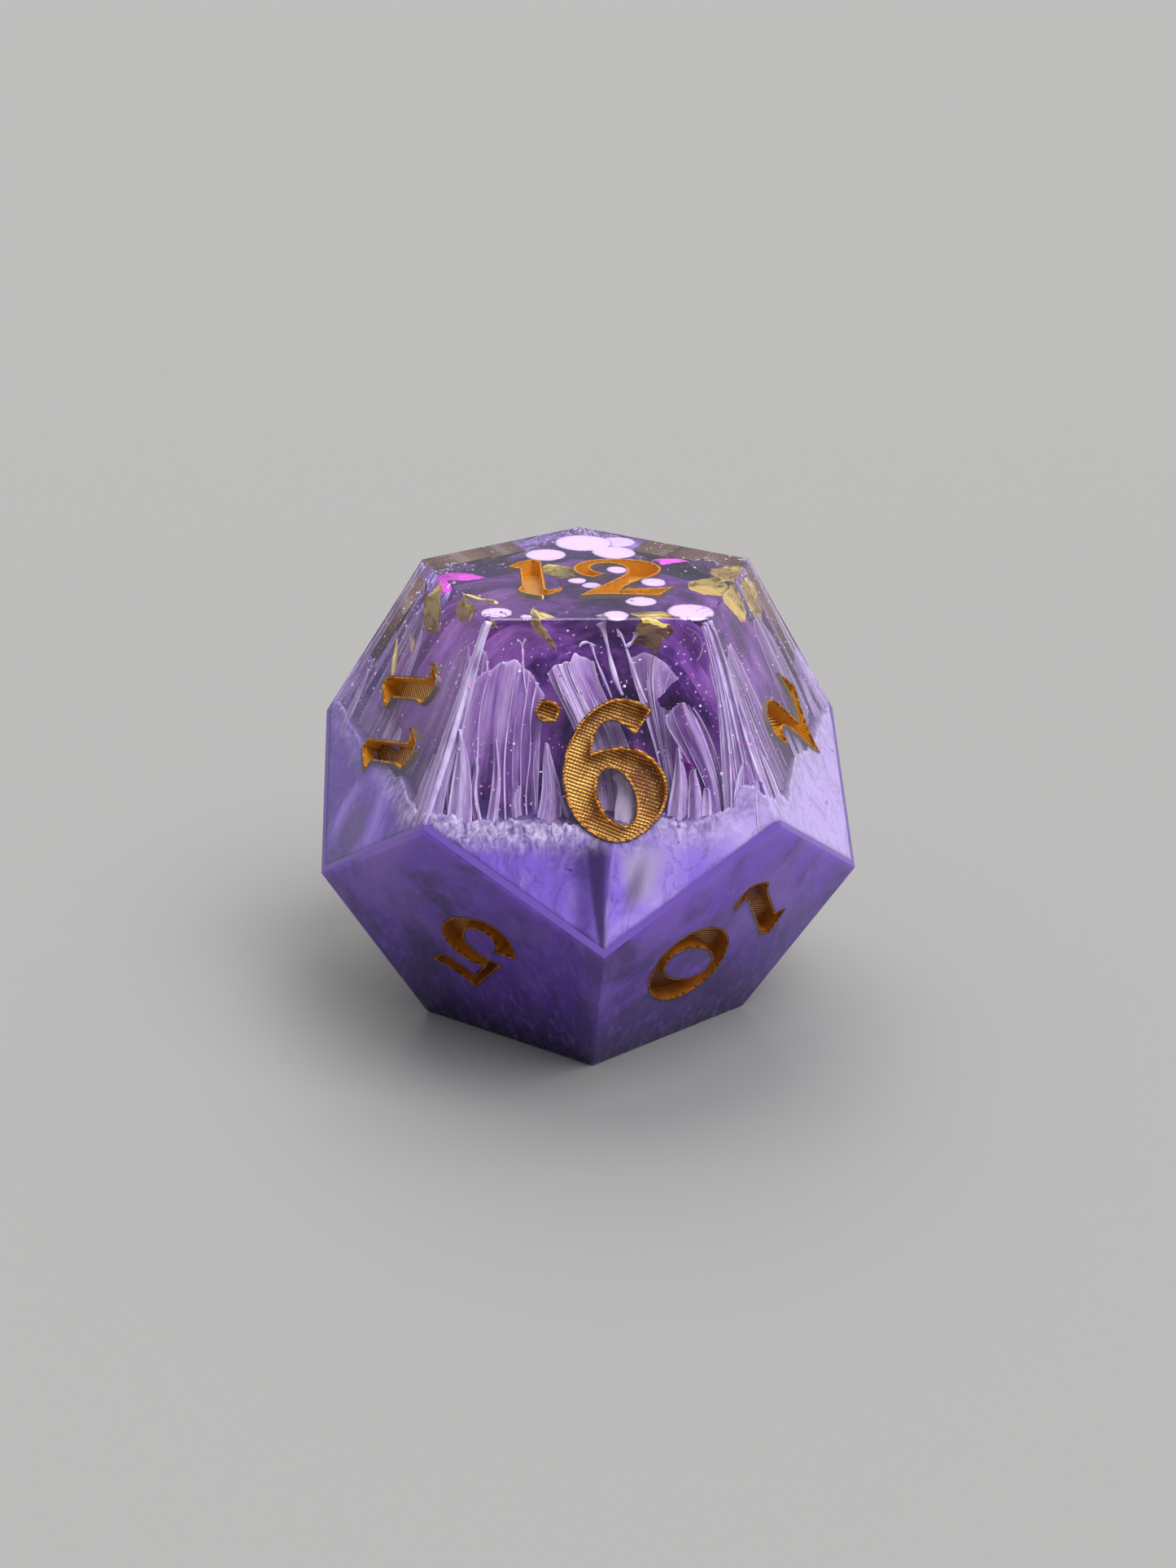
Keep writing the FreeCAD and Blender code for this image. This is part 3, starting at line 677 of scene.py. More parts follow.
def makePoolPiece():
    # rings stacked up the die's inside walls to a frilled rim, then drawn in over a lumpy top to the middle
    rng = np.random.default_rng(12)
    degrees = np.linspace(-180, 180, pool["sides"], endpoint=False)[None, :]
    angles = np.radians(degrees)
    lumps = smoothNoise(rng, 12, 24, np.cos(angles), np.sin(angles))
    scallops = smoothNoise(rng, 10, 150, np.cos(angles), np.sin(angles))
    calm = 1 - 0.7 * bump(degrees, -17, 14)
    swell = sum(height * bump(degrees, place, width) for place, width, height in pool["mounds"])
    teeth = rng.uniform(-1, 1, degrees.shape)
    rimHeight = poolTop + (0.10 * lumps * calm + 0.07 * scallops + 0.06 * teeth + swell) * mm
    rise = np.linspace(0, 1, pool["rows"])[:, None]
    low = dieLow[2] + 3.0 * mm
    heights = low + (rimHeight - low) * rise
    radii = wallReach(angles, heights, pool["inset"] * mm, pool["lowerInset"] * mm)
    ripple = np.clip(smoothNoise(rng, 12, 40, np.cos(angles), np.sin(angles), heights / mm * 0.05), -1, 1)
    radii = radii - 0.10 * mm * (1 + ripple) * np.clip((heights - 12.0 * mm) / (0.6 * mm), 0, 1)
    inward = np.linspace(1, 0, 26)[1:, None]
    hills = smoothNoise(rng, 14, 9, inward * np.cos(angles) * 3, inward * np.sin(angles) * 3)
    topHeights = poolTop + 0.2 * mm * hills * (1 - inward ** 4) - 0.2 * mm
    topHeights = topHeights + (rimHeight - poolTop) * inward ** 10
    side = np.broadcast_to(rise, heights.shape)
    heights = np.concatenate([heights, topHeights])
    radii = np.concatenate([radii, radii[-1:] * inward])
    points = np.stack([radii * np.sin(angles), -radii * np.cos(angles), heights], axis=-1)
    rows, columns = heights.shape
    faces = gridFaces(rows, columns, closed=True).tolist()
    faces.append(list(range(columns))[::-1])

    band = np.clip(1 - (rimHeight - heights) / (pool["frillBand"] * mm), 0, 1)
    uneven = 0.15 * smoothNoise(rng, 10, 30, np.cos(angles), heights / mm)
    band = band * (0.35 + 0.65 * bump(degrees, -20, 34)) + uneven * band
    inside = np.concatenate([0 * side, np.clip((1 - inward) * 9, 0, 1) + 0 * angles])
    origin, right, up, _ = faceFrame("upper", 0)
    x, y = (points - origin) @ right / mm, (points - origin) @ up / mm
    front = (points[..., 1] < 0) * (np.abs(degrees) < 36)
    half = np.interp(y, [-7.5, -6.5, -3.2, -2.9], [0.05, 0.22, 0.55, 0.25])
    centreLine = np.interp(y, [-7.5, -5.0, -3.0], [-0.05, -0.22, -0.30])
    wedgeAndShadow = front * np.clip(1.5 - np.abs(x - centreLine) / half, 0, 1) * (y < -2.6) * 0.92
    line = front * bump(x, np.interp(y, [-7.6, -6.0, -3.2], [0.0, 0.12, 0.45]), 0.055)
    line = line * (y < -3.0) * (0.35 + 0.2 * np.sin(y * 3))
    blur = 0.20 * smoothNoise(rng, 9, 3.2, x, y)
    ellipse = np.hypot((x - 1.55) / 0.95, (y + 4.1) / 1.05) + blur
    patch = front * np.clip((1.15 - ellipse) * 1.6, 0, 1) * 0.85
    spindle = np.hypot((x - 1.3 - 0.35 * (y + 4.6)) / 0.34, (y + 4.6) / 0.85)
    core = front * np.clip(1.3 - spindle - 1.6 * blur, 0, 1) * 0.75
    # a painted shadow beside the wedge, carried in the same dark attribute
    shadow = front * (y < -3.1) * np.clip(bump(x, -0.75, 0.5) * 0.6 + bump(x, -1.9, 0.25) * 0.15, 0, 1)
    wedgeAndShadow = np.maximum(wedgeAndShadow, shadow)
    origin, right, up, _ = faceFrame("upper", 288)
    x, y = (points - origin) @ right / mm, (points - origin) @ up / mm
    leftSide = (degrees < -36) * (degrees > -108)
    arch = np.hypot((x - 1.2 - 0.12 * (y + 4.6)) / 1.5, (y + 5.0) / 2.5)
    arch = arch + 0.16 * smoothNoise(rng, 6, 1.6, x, y)
    wedgeAndShadow = np.maximum(wedgeAndShadow, leftSide * np.clip((1.05 - arch) * 1.8, 0, 1) * 0.62)
    streak = (0.14 + 0.14 * smoothNoise(rng, 6, 3, x, y)).clip(0, 0.4)
    line = np.maximum(line, leftSide * bump(arch, 1.25, 0.22) * streak)
    pale = 0.5 + 0.5 * np.sin(angles) + 0.5 * bump(degrees, 66, 30) + 0.35 * bump(degrees, -68, 12)
    pale = pale + 0 * heights
    values = {"frill": np.clip(band * 1.4, 0, 1), "wedgeAndShadow": wedgeAndShadow, "line": line, "patch": patch, "core": core,
              "pale": pale, "inside": inside}
    piece = newObject("lavenderInkPool", keepClear(points), faces, attributes=values, material=makePool())
    return outward(piece)


finishPiece(makePoolPiece(), "lavender_ink", "lavender_ink_pool")
print("pool made")

# violet cloud behind the veils
cloud = {"inset": 2.65, "top": 17.35, "flutes": 26, "sides": 420, "rows": 60}


def makeCloudPiece():
    # a fluted dome: its radius shrinks towards the top and ripples round the axis
    rng = np.random.default_rng(5)
    angles = np.linspace(0, 2 * math.pi, cloud["sides"], endpoint=False)[None, :]
    rise = np.linspace(0, 1, cloud["rows"])[:, None]
    lowest = poolTop - 1.0 * mm
    heights = lowest + (dieLow[2] + cloud["top"] * mm - lowest) * np.sin(rise * math.pi / 2)
    reach = wallReach(angles, heights, cloud["inset"] * mm, cloud["inset"] * mm)
    flutes = smoothNoise(rng, 16, cloud["flutes"], np.cos(angles), np.sin(angles), rise * 0.05)
    radii = reach * (1 - 0.09 * np.abs(flutes)) * np.cos(rise * math.pi / 2) ** 0.22
    radii[-1] = 0
    points = np.stack([radii * np.sin(angles), -radii * np.cos(angles), heights + 0 * angles], axis=-1)
    faces = gridFaces(cloud["rows"], cloud["sides"], closed=True).tolist()
    faces.append(list(range(cloud["sides"]))[::-1])
    side = np.sin(angles + 0.9) * 0.15 + 0.2 * smoothNoise(rng, 5, 3, np.cos(angles), np.sin(angles))
    dark = np.clip(0.22 + side + 0.7 * rise ** 2, 0, 1.2)
    piece = newObject("violetInkCloud", points, faces, attributes={"dark": dark})
    piece.data.materials.append(makeCloud())
    return outward(piece)


finishPiece(makeCloudPiece(), "violet_ink", "violet_ink_cloud")
print("cloud made")

# ink curtains
# each curtain hangs between a left and a right border, both given from tip to foot in millimetres
# right of and above the middle of its upper face, then depth at the tip and at the foot, raggedness
# of the tip, opacity at the tip and at the foot, the number of raised strands, the arch of the tips
# and how much paler the ink is
frontVeils = [
    ("01", [(-4.65, 6.15), (-5.35, 4.3), (-6.5, 1.8), (-7.8, -2.5)],
     [(-4.45, 6.15), (-5.1, 3.9), (-5.75, 1.3), (-6.5, -2.5)],
     0.45, 0.7, 0.03, 1.0, 0.62, 14, 0.0, 0.04),
    ("02", [(-5.3, 3.45), (-5.85, 1.9), (-6.2, -0.1), (-6.3, -2.5)],
     [(-2.2, 3.5), (-2.35, 1.6), (-2.5, -0.2), (-2.6, -2.5)],
     0.9, 1.5, 0.07, 1.0, 0.42, 9, 1.25, -0.05),
    ("03", [(-2.2, 4.35), (-1.6, 3.1), (-0.8, 1.0), (-0.4, -2.5)],
     [(-0.2, 5.15), (0.25, 3.3), (1.1, 1.2), (1.6, -2.5)],
     1.3, 1.9, 0.08, 1.15, 0.75, 13, 0.15, 0.07),
    ("04", [(1.25, 4.9), (1.6, 3.4), (2.3, 1.2), (2.8, -2.5)],
     [(3.45, 3.8), (3.05, 2.7), (3.05, 0.6), (3.3, -2.5)],
     1.8, 2.1, 0.05, 1.05, 0.7, 9, 0.45, 0.0),
    ("05", [(2.85, 2.3), (3.0, 1.4), (3.95, -0.3), (4.4, -2.5)],
     [(3.8, 2.6), (4.5, 1.4), (5.0, -0.5), (5.17, -2.5)],
     0.9, 1.3, 0.03, 1.05, 0.7, 5, 0.3, -0.03),
    ("06", [(4.1, 6.0), (4.65, 3.6), (4.98, 0.8), (5.1, -2.5)],
     [(4.75, 6.1), (5.6, 3.3), (6.4, 0.6), (7.3, -2.5)],
     0.45, 0.8, 0.03, 0.9, 0.7, 22, 0.0, 0.05),
    ("07", [(3.12, 0.95), (3.0, -0.2), (2.82, -1.3), (2.7, -2.5)],
     [(3.28, 0.95), (3.5, -0.2), (3.64, -1.2), (3.7, -2.5)],
     1.0, 1.3, 0.02, 1.1, 1.0, 4, 0.0, 0.08),
    ("08", [(-2.27, 1.2), (-2.4, -0.1), (-2.5, -1.2), (-2.6, -2.5)],
     [(-2.18, 1.2), (-1.85, -0.1), (-1.66, -1.2), (-1.58, -2.5)],
     0.85, 1.1, 0.03, 1.1, 0.9, 5, 0.0, 0.05),
]
# the same for the other upper faces, as tip x, y and half width, foot x and half width, and depth
otherVeils = [
    ("09", 72, -2.8, 4.2, 0.6, -3.6, 1.7, 1.0), ("10", 72, 2.4, 3.8, 0.5, 3.0, 1.6, 1.3),
    ("11", 144, -2.6, 4.3, 0.6, -3.2, 1.6, 1.0), ("12", 144, 2.7, 4.0, 0.5, 3.4, 1.6, 1.3),
    ("13", 216, -2.5, 3.9, 0.6, -3.3, 1.7, 1.0), ("14", 216, 2.9, 4.3, 0.5, 3.3, 1.5, 1.3),
    ("15", 288, -2.7, 4.0, 0.6, -3.0, 1.6, 1.0), ("16", 288, 2.8, 4.2, 0.5, 3.6, 1.7, 1.3),
]
# small flames that rise from the pool: face, tip x and y, foot x, half width, depth
flames = [
    (0, -5.7, 1.75, -5.8, 0.50, 0.5), (0, -5.1, 0.6, -5.0, 0.18, 0.7), (0, -4.28, 1.35, -4.45, 0.24, 0.9),
    (0, -3.4, -0.6, -3.4, 0.22, 1.1), (0, -1.77, -0.15, -1.2, 0.20, 1.15), (0, 3.78, 0.05, 3.95, 0.36, 0.8),
    (0, 4.3, -0.8, 4.4, 0.30, 0.9), (0, 5.8, 0.3, 5.9, 0.75, 0.35), (0, 6.4, -0.5, 6.6, 0.50, 0.3),
]
flames += [(azimuth, tipX, tipY, tipX * 1.05, half, 0.8) for azimuth in (72, 144, 216, 288)
           for tipX, tipY, half in ((-5.2, 0.6, 0.45), (-0.6, 1.2, 0.40), (0.5, -0.2, 0.50), (4.9, 0.2, 0.40))]
veilStyle = {"rows": 90, "columns": 120, "foldDepth": 0.15, "thickness": 0.03, "strand": 0.030,
             "sides": 6, "steps": 56}


def curveThrough(points, share):
    # the polynomial that passes through every point, the first at share 0 and the last at share 1
    points = np.array(points, dtype=float)
    knots = np.linspace(0, 1, len(points))
    return [np.polyval(np.polyfit(knots, points[:, axis], len(points) - 1), share) for axis in (0, 1)]


def veilPlace(veil, u, v, seed):
    # between the two borders at share v of the width, lifted and sunk by pleats that run from tip to foot
    azimuth, left, right, tipDepth, footDepth, ragged, arch = veil
    rng = np.random.default_rng(seed)
    wide = np.hypot(right[1][0] - left[1][0], right[1][1] - left[1][1])
    notch = smoothNoise(rng, 5, 5 + 2.5 * wide, v) * 0.5 + smoothNoise(rng, 5, 16 + 9 * wide, v) * 0.35
    start = np.clip(ragged * (0.55 * (2 * np.abs(v - 0.5)) ** 3 + 0.45 + 0.6 * notch), 0, 0.6)
    along = start + (1 - start) * u
    leftX, leftY = curveThrough(left, along)
    rightX, rightY = curveThrough(right, along)
    sway = 0.035 * smoothNoise(rng, 4, 7, along, v * 2)
    pleat = smoothNoise(rng, 8, 7 + 5 * wide, v + sway, along * 0.12)
    share = np.clip(v + sway * 0.4, 0.0, 1.0)
    x = leftX + (rightX - leftX) * share + 0.05 * smoothNoise(rng, 4, 9, along)
    y = leftY + (rightY - leftY) * share + arch * np.sin(math.pi * share) ** 0.8 * (1 - along) ** 2
    depth = tipDepth + (footDepth - tipDepth) * along - veilStyle["foldDepth"] * pleat
    depth = depth - 0.25 * np.sin(math.pi * share)
    return x, y, np.clip(depth, 0.12, None), pleat, along


def makeVeilSheet(name, veil, opacity, seed, material, coarse=1.0, paler=0.0):
    u = (np.linspace(0, 1, int(veilStyle["rows"] * coarse)) ** 1.3)[:, None]
    v = np.linspace(0, 1, int(veilStyle["columns"] * coarse))[None, :]
    x, y, depth, pleat, along = veilPlace(veil, u, v, seed)
    front = onFace("upper", veil[0], x, y, depth)
    back = onFace("upper", veil[0], x, y, depth + veilStyle["thickness"])
    rows, columns = x.shape
    rim = np.concatenate([np.arange(columns), np.arange(1, rows) * columns + columns - 1,
                          (rows - 1) * columns + np.arange(columns - 2, -1, -1),
                          np.arange(rows - 2, 0, -1) * columns])
    nextRim = np.roll(rim, -1)
    wall = np.stack([rim, nextRim, nextRim + rows * columns, rim + rows * columns], axis=-1)
    sheet = gridFaces(rows, columns)
    faces = np.concatenate([sheet, sheet[:, ::-1] + rows * columns, wall])
    wide = np.hypot(veil[2][-2][0] - veil[1][-2][0], veil[2][-2][1] - veil[1][-2][1])
    edge = np.maximum(np.exp(-np.abs(v - 0.5 - 0.5 * np.sign(v - 0.5)) * wide / 0.07) * 0.9, np.exp(-u * 60))
    body = opacity[0] + (opacity[1] - opacity[0]) * np.clip(along * 1.15, 0, 1) ** 0.8
    values = {"pleat": pleat, "edge": edge + 0 * u, "body": body, "flowAcross": v * wide + 0 * u,
              "flowAlong": along * 6.0 + seed * 3.7, "paler": paler + 0 * pleat}
    piece = newObject(name, tuck(np.stack([front, back]).reshape(-1, 3), insets["veil"] * mm), faces,
                      attributes={key: np.stack([value, value]) for key, value in values.items()},
                      material=material)
    return outward(piece)


def makeTubes(name, places, radii, material):
    # tubes along paths: places is paths x steps x 3, radii is paths x steps, both in metres
    count, steps, _ = places.shape
    sides = veilStyle["sides"]
    way = np.gradient(places, axis=1)
    way /= np.linalg.norm(way, axis=-1, keepdims=True) + 1e-12
    first = np.cross(way, np.array([0.31, 0.95, 0.05]))
    first /= np.linalg.norm(first, axis=-1, keepdims=True) + 1e-12
    second = np.cross(way, first)
    turn = np.linspace(0, 2 * math.pi, sides, endpoint=False)
    rings = places[:, :, None] + radii[:, :, None, None] * (
        first[:, :, None] * np.cos(turn)[:, None] + second[:, :, None] * np.sin(turn)[:, None])
    quads = gridFaces(steps, sides, closed=True)
    caps = [list(range(sides))[::-1], [(steps - 1) * sides + k for k in range(sides)]]
    allFaces = []
    for k in range(count):
        offset = k * steps * sides
        allFaces += (quads + offset).tolist() + [[corner + offset for corner in cap] for cap in caps]
    piece = newObject(name, tuck(rings.reshape(-1, 3), insets["strand"] * mm), allFaces, material=material)
    return outward(piece)


def makeVeilStrands(name, veil, count, seed, material):
    # strands that follow the curtain's own folds, some of them starting at its ragged tip with a small bead
    rng = np.random.default_rng(seed + 500)
    share = np.concatenate([[0.0, 1.0], rng.uniform(0.02, 0.98, count)])[:, None]
    begin = np.where(rng.uniform(size=share.shape) < 0.55, 0.0, rng.uniform(0.02, 0.5, share.shape))
    end = np.where(rng.uniform(size=share.shape) < 0.5, 1.0, rng.uniform(0.6, 1.0, share.shape))
    step = np.linspace(0, 1, veilStyle["steps"])[None, :]
    u = begin + (end - begin) * step
    wander = 0.012 * smoothNoise(rng, 4, 12, u, share * 9)
    x, y, depth, _, _ = veilPlace(veil, u, np.clip(share + wander, 0, 1), seed)
    places = onFace("upper", veil[0], x, y, depth - 0.02)
    thick = veilStyle["strand"] * rng.uniform(0.45, 1.5, share.shape)
    thick = thick * (0.55 + 0.45 * np.sin(step * 2.6 + share * 9) ** 2)
    bead = 1 + 1.1 * np.exp(-(step / 0.02) ** 2) * (begin == 0)
    thick = thick * bead * np.clip((1.0 - step) * 14, 0.2, 1)
    return makeTubes(name, places, thick * mm, material)


veilMaterial, strandMaterial = makeVeil(), makeStrand()
for number, left, right, tipDepth, footDepth, ragged, tipBody, footBody, strands, arch, paler in frontVeils:
    veil = (0, left, right, tipDepth, footDepth, ragged, arch)
    seed = 40 + int(number)
    sheet = makeVeilSheet("inkVeil" + number, veil, (tipBody, footBody), seed, veilMaterial, paler=paler)
    finishPiece(sheet, "veil_ink", "ink_veil_" + number)
    finishPiece(makeVeilStrands("inkStrands" + number, veil, strands, seed, strandMaterial), "veil_ink")
for number, azimuth, tipX, tipY, tipHalf, footX, footHalf, depth in otherVeils:
    seed = 40 + int(number)
    lean = np.random.default_rng(seed).uniform(-0.5, 0.5, 2)
    middleX = (tipX + footX) / 2
    left = [(tipX - tipHalf, tipY), (middleX - 0.8 * footHalf + lean[0], tipY * 0.5), (footX - footHalf, -2.5)]
    right = [(tipX + tipHalf, tipY), (middleX + 0.8 * footHalf + lean[0], tipY * 0.5), (footX + footHalf, -2.5)]
    veil = (azimuth, left, right, depth, depth + 0.5, 0.10, 0.5)
    sheet = makeVeilSheet("inkVeil" + number, veil, (0.80, 0.45), seed, veilMaterial, 0.75)
    finishPiece(sheet, "veil_ink", "ink_veil_" + number)
    finishPiece(makeVeilStrands("inkStrands" + number, veil, 8, seed, strandMaterial), "veil_ink")
print("curtains made")

for index, (azimuth, tipX, tipY, footX, half, depth) in enumerate(flames, start=1):
    left = [(tipX - 0.05, tipY), (tipX - 0.5 * half, tipY * 0.35 - 0.8), (footX - half, -2.6)]
    right = [(tipX + 0.05, tipY), (tipX + 0.7 * half, tipY * 0.35 - 0.8), (footX + half, -2.6)]
    veil = (azimuth, left, right, depth, depth + 0.2, 0.03, 0.0)
    sheet = makeVeilSheet("inkFlame%02d" % index, veil, (1.0, 0.8), 70 + index, veilMaterial, 0.5)
    finishPiece(sheet, "veil_ink")
    finishPiece(makeVeilStrands("flameStrands%02d" % index, veil, 3, 70 + index, strandMaterial), "veil_ink")

# the pale petal seen through the ring of numeral 9
petal = (0, [(0.45, -0.25), (0.72, -0.8), (0.55, -1.5), (0.6, -2.5)],
         [(1.35, -0.2), (1.55, -0.9), (1.55, -1.7), (1.3, -2.5)], 1.0, 1.1, 0.02, 0.15)
finishPiece(makeVeilSheet("inkPetal", petal, (1.3, 1.3), 95, veilMaterial, 0.5, 0.30), "veil_ink")

# tendrils behind the front face: path, half thickness and depth, in millimetres
tendrils = [
    ([(-3.35, 5.35), (-3.15, 5.1), (-3.12, 4.4), (-3.0, 3.2)], 0.045, 0.7),
    ([(-3.0, 5.4), (-3.12, 5.15), (-3.13, 4.9), (-3.12, 4.6)], 0.05, 0.68),
    ([(0.77, 5.7), (1.05, 5.3), (1.4, 4.2), (1.95, 2.8)], 0.10, 1.2),
    ([(1.54, 5.66), (1.42, 5.4), (1.25, 5.2), (1.08, 5.1)], 0.09, 1.15),
    ([(0.11, 6.1), (0.36, 5.1), (0.58, 4.1), (0.95, 3.1)], 0.13, 1.0),
    ([(-0.28, 5.2), (-0.12, 4.6), (0.15, 3.9), (0.5, 3.0)], 0.07, 1.1),
    ([(3.62, 5.9), (4.15, 5.5), (4.25, 5.0), (4.02, 4.5)], 0.035, 1.0),
    ([(-0.22, 5.15), (-0.35, 5.28), (-0.6, 5.3), (-0.78, 5.12)], 0.07, 1.25),
    ([(-4.52, 6.1), (-5.2, 4.0), (-5.95, 1.4), (-7.15, -2.3)], 0.10, 0.3),
    ([(-4.5, 6.0), (-5.15, 3.6), (-5.75, 1.0), (-6.3, -2.3)], 0.06, 0.35),
    ([(4.3, 6.05), (4.8, 3.8), (5.2, 1.2), (5.25, -2.2)], 0.055, 0.4),
    ([(4.55, 6.1), (5.3, 3.6), (6.0, 1.0), (7.2, -2.3)], 0.07, 0.25),
    ([(4.5, 6.1), (5.1, 3.4), (5.6, 1.2), (6.2, -2.2)], 0.05, 0.35),
    ([(4.6, 6.1), (5.5, 3.4), (6.4, 0.6), (7.3, -2.2)], 0.05, 0.2),
]
steps = np.linspace(0, 1, 48)
paths, radii = [], []
for points, thick, depth in tendrils:
    x, y = curveThrough(points, steps)
    paths.append(onFace("upper", 0, x, y, depth + 0 * x))
    radii.append(thick * mm * (1 + 0.9 * np.exp(-(steps / 0.05) ** 2)) * (0.75 + 0.25 * np.cos(steps * 9)))
# the same bundle at the other three upright edges, seen from the faces on both sides
rng = np.random.default_rng(91)
for azimuth in (72, 144, 216):
    for _ in range(9):
        spread = rng.uniform(-1.3, 0.0)
        points = [(4.5, 6.1), (5.3 + spread * 0.3, 3.6), (6.1 + spread * 0.7, 1.0), (7.2 + spread, -2.3)]
        x, y = curveThrough(points, steps)
        paths.append(onFace("upper", azimuth, x, y, rng.uniform(0.2, 0.6) + 0 * x))
        radii.append(rng.uniform(0.03, 0.07) * mm * (0.8 + 0.2 * np.cos(steps * 9)))
finishPiece(makeTubes("inkTendrils", np.array(paths), np.array(radii), strandMaterial), "veil_ink")
print("tendrils made")


# drops of white ink
disc = {"sides": 72, "rings": 14, "spread": 1.04, "markedBefore": -2.0}


def makeDiscPiece(node, index, material):
    # a lens turned round its own axis, with an uneven rim
    low, high = [np.array(corner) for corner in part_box(node)]
    rng = np.random.default_rng(200 + index)
    spot, half = (low + high) / 2, (high - low) / 2
    turn = np.linspace(0, 2 * math.pi, disc["sides"], endpoint=False)[None, :]
    rim = 1 + 0.05 * smoothNoise(rng, 3, 3, np.cos(turn), np.sin(turn))
    rim = rim + 0.012 * smoothNoise(rng, 3, 9, np.cos(turn), np.sin(turn))
    rings = disc["rings"]
    across = np.concatenate([np.linspace(0, 1, rings), np.linspace(1, 0, rings)[1:]])[:, None]
    side = np.concatenate([np.ones(rings), -np.ones(rings - 1)])[:, None]
    bulge = side * np.sqrt(np.clip(1 - across ** 6, 0, 1))
    points = np.stack([spot[0] + half[0] * disc["spread"] * across * rim * np.cos(turn),
                       spot[1] + half[1] * disc["spread"] * across * rim * np.sin(turn),
                       spot[2] + half[2] * bulge + 0 * turn], axis=-1)
    faces = gridFaces(len(across), disc["sides"], closed=True)
    marks = 1.0 if spot[1] < disc["markedBefore"] * mm else 0.0
    piece = newObject("inkDrop%02d" % index, tuck(points, insets["drop"] * mm), faces,
                      attributes={"marks": np.full(points.shape[:2], marks)}, material=material)
    return outward(piece)


discMaterial = makeDisc()
for index in range(1, 14):
    node = "white_ink_disc_%02d" % index
    finishPiece(makeDiscPiece(node, index, discMaterial), "white_ink", node)
print("drops made")


# metal leaf
leafStyle = {"sides": 64, "rings": 16, "grow": 0.6, "goldGrow": 0.78, "bronzePast": 3.0, "thickness": 0.02,
             "crumple": 0.22}


def makeFlakePiece(node, name, index, material):
    # the CAD plate's own directions, found from its corners, carry a crumpled leaf with a torn outline
    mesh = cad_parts[node].data
    corners = np.empty(len(mesh.vertices) * 3)
    mesh.vertices.foreach_get("co", corners)
    corners = np.unique(corners.reshape(-1, 3).round(8), axis=0)
    spot = (corners.min(axis=0) + corners.max(axis=0)) / 2
    ways = np.linalg.svd(corners - spot)[2]
    bright = node.startswith("gold") and spot[0] < leafStyle["bronzePast"] * mm
    grow = leafStyle["goldGrow" if bright else "grow"]
    spans = [np.ptp((corners - spot) @ way) * grow for way in ways]
    rng = np.random.default_rng(300 + index)
    around = np.linspace(0, 2 * math.pi, leafStyle["sides"], endpoint=False)[None, :]
    across = np.linspace(0, 1, leafStyle["rings"])[:, None]
    # a polygon's reach along a direction between two of its corners comes from the sine rule
    count = 5 + index % 3
    knots = (np.arange(count) + rng.uniform(-0.25, 0.25, count)) * 2 * math.pi / count
    reach = rng.uniform(0.85, 1.35, count)
    before = (np.searchsorted(knots, around, side="right") - 1) % count
    after = (before + 1) % count
    past, left = (around - knots[before]) % (2 * math.pi), (knots[after] - around) % (2 * math.pi)
    outline = reach[before] * reach[after] * np.sin(past + left) / (reach[before] * np.sin(past)
                                                                    + reach[after] * np.sin(left))
    outline = outline * (1 + 0.04 * smoothNoise(rng, 5, 22, np.cos(around), np.sin(around)))
    a = across * outline * np.cos(around)
    b = across * outline * np.sin(around)
    crumple = 0.0
    for _ in range(7):
        tilt = rng.uniform(0, 2 * math.pi)
        fold = np.abs(a * math.cos(tilt) + b * math.sin(tilt) - rng.uniform(-0.7, 0.7))
        crumple = crumple + fold * rng.choice([-1, 1])
    crumple = crumple - crumple.mean()
    lift = crumple * leafStyle["crumple"] * spans[1]
    top = spot + (a * spans[0])[..., None] * ways[0] + (b * spans[1])[..., None] * ways[1]
    top = top + lift[..., None] * ways[2]
    under = top - leafStyle["thickness"] * mm * ways[2]
    points = np.concatenate([top, under[::-1]])
    faces = gridFaces(len(points), leafStyle["sides"], closed=True)
    piece = newObject(name, tuck(points, insets["leaf"] * mm), faces, smooth=False, material=material)
    return outward(piece)


goldLeaf = makeLeaf("goldLeaf", (0.42, 0.24, 0.02), (1.0, 0.86, 0.22), 0.0)
violetLeaf = makeLeaf("violetLeaf", (0.020, 0.002, 0.060), (0.13, 0.008, 0.32), 0.0)
magentaLeaf = makeLeaf("magentaLeaf", (0.35, 0.01, 0.40), (0.95, 0.10, 0.90), 0.3)
bronzeLeaf = makeLeaf("bronzeLeaf", (0.10, 0.06, 0.03), (0.55, 0.42, 0.10), 0.0)
for index in range(1, 10):
    node = "gold_foil_flake_%02d" % index
    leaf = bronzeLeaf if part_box(node)[0][0] > leafStyle["bronzePast"] * mm else goldLeaf
    finishPiece(makeFlakePiece(node, "goldLeaf%02d" % index, index, leaf), "gold_leaf", node)
for index in range(1, 5):
    node = "violet_foil_flake_%02d" % index
    leaf = violetLeaf if index == 1 else magentaLeaf
    finishPiece(makeFlakePiece(node, "violetLeaf%02d" % index, 20 + index, leaf), "violet_leaf", node)
print("leaf made")

# glitter
glitter = {"count": 1700, "size": (0.025, 0.085), "depth": (0.15, 2.4)}


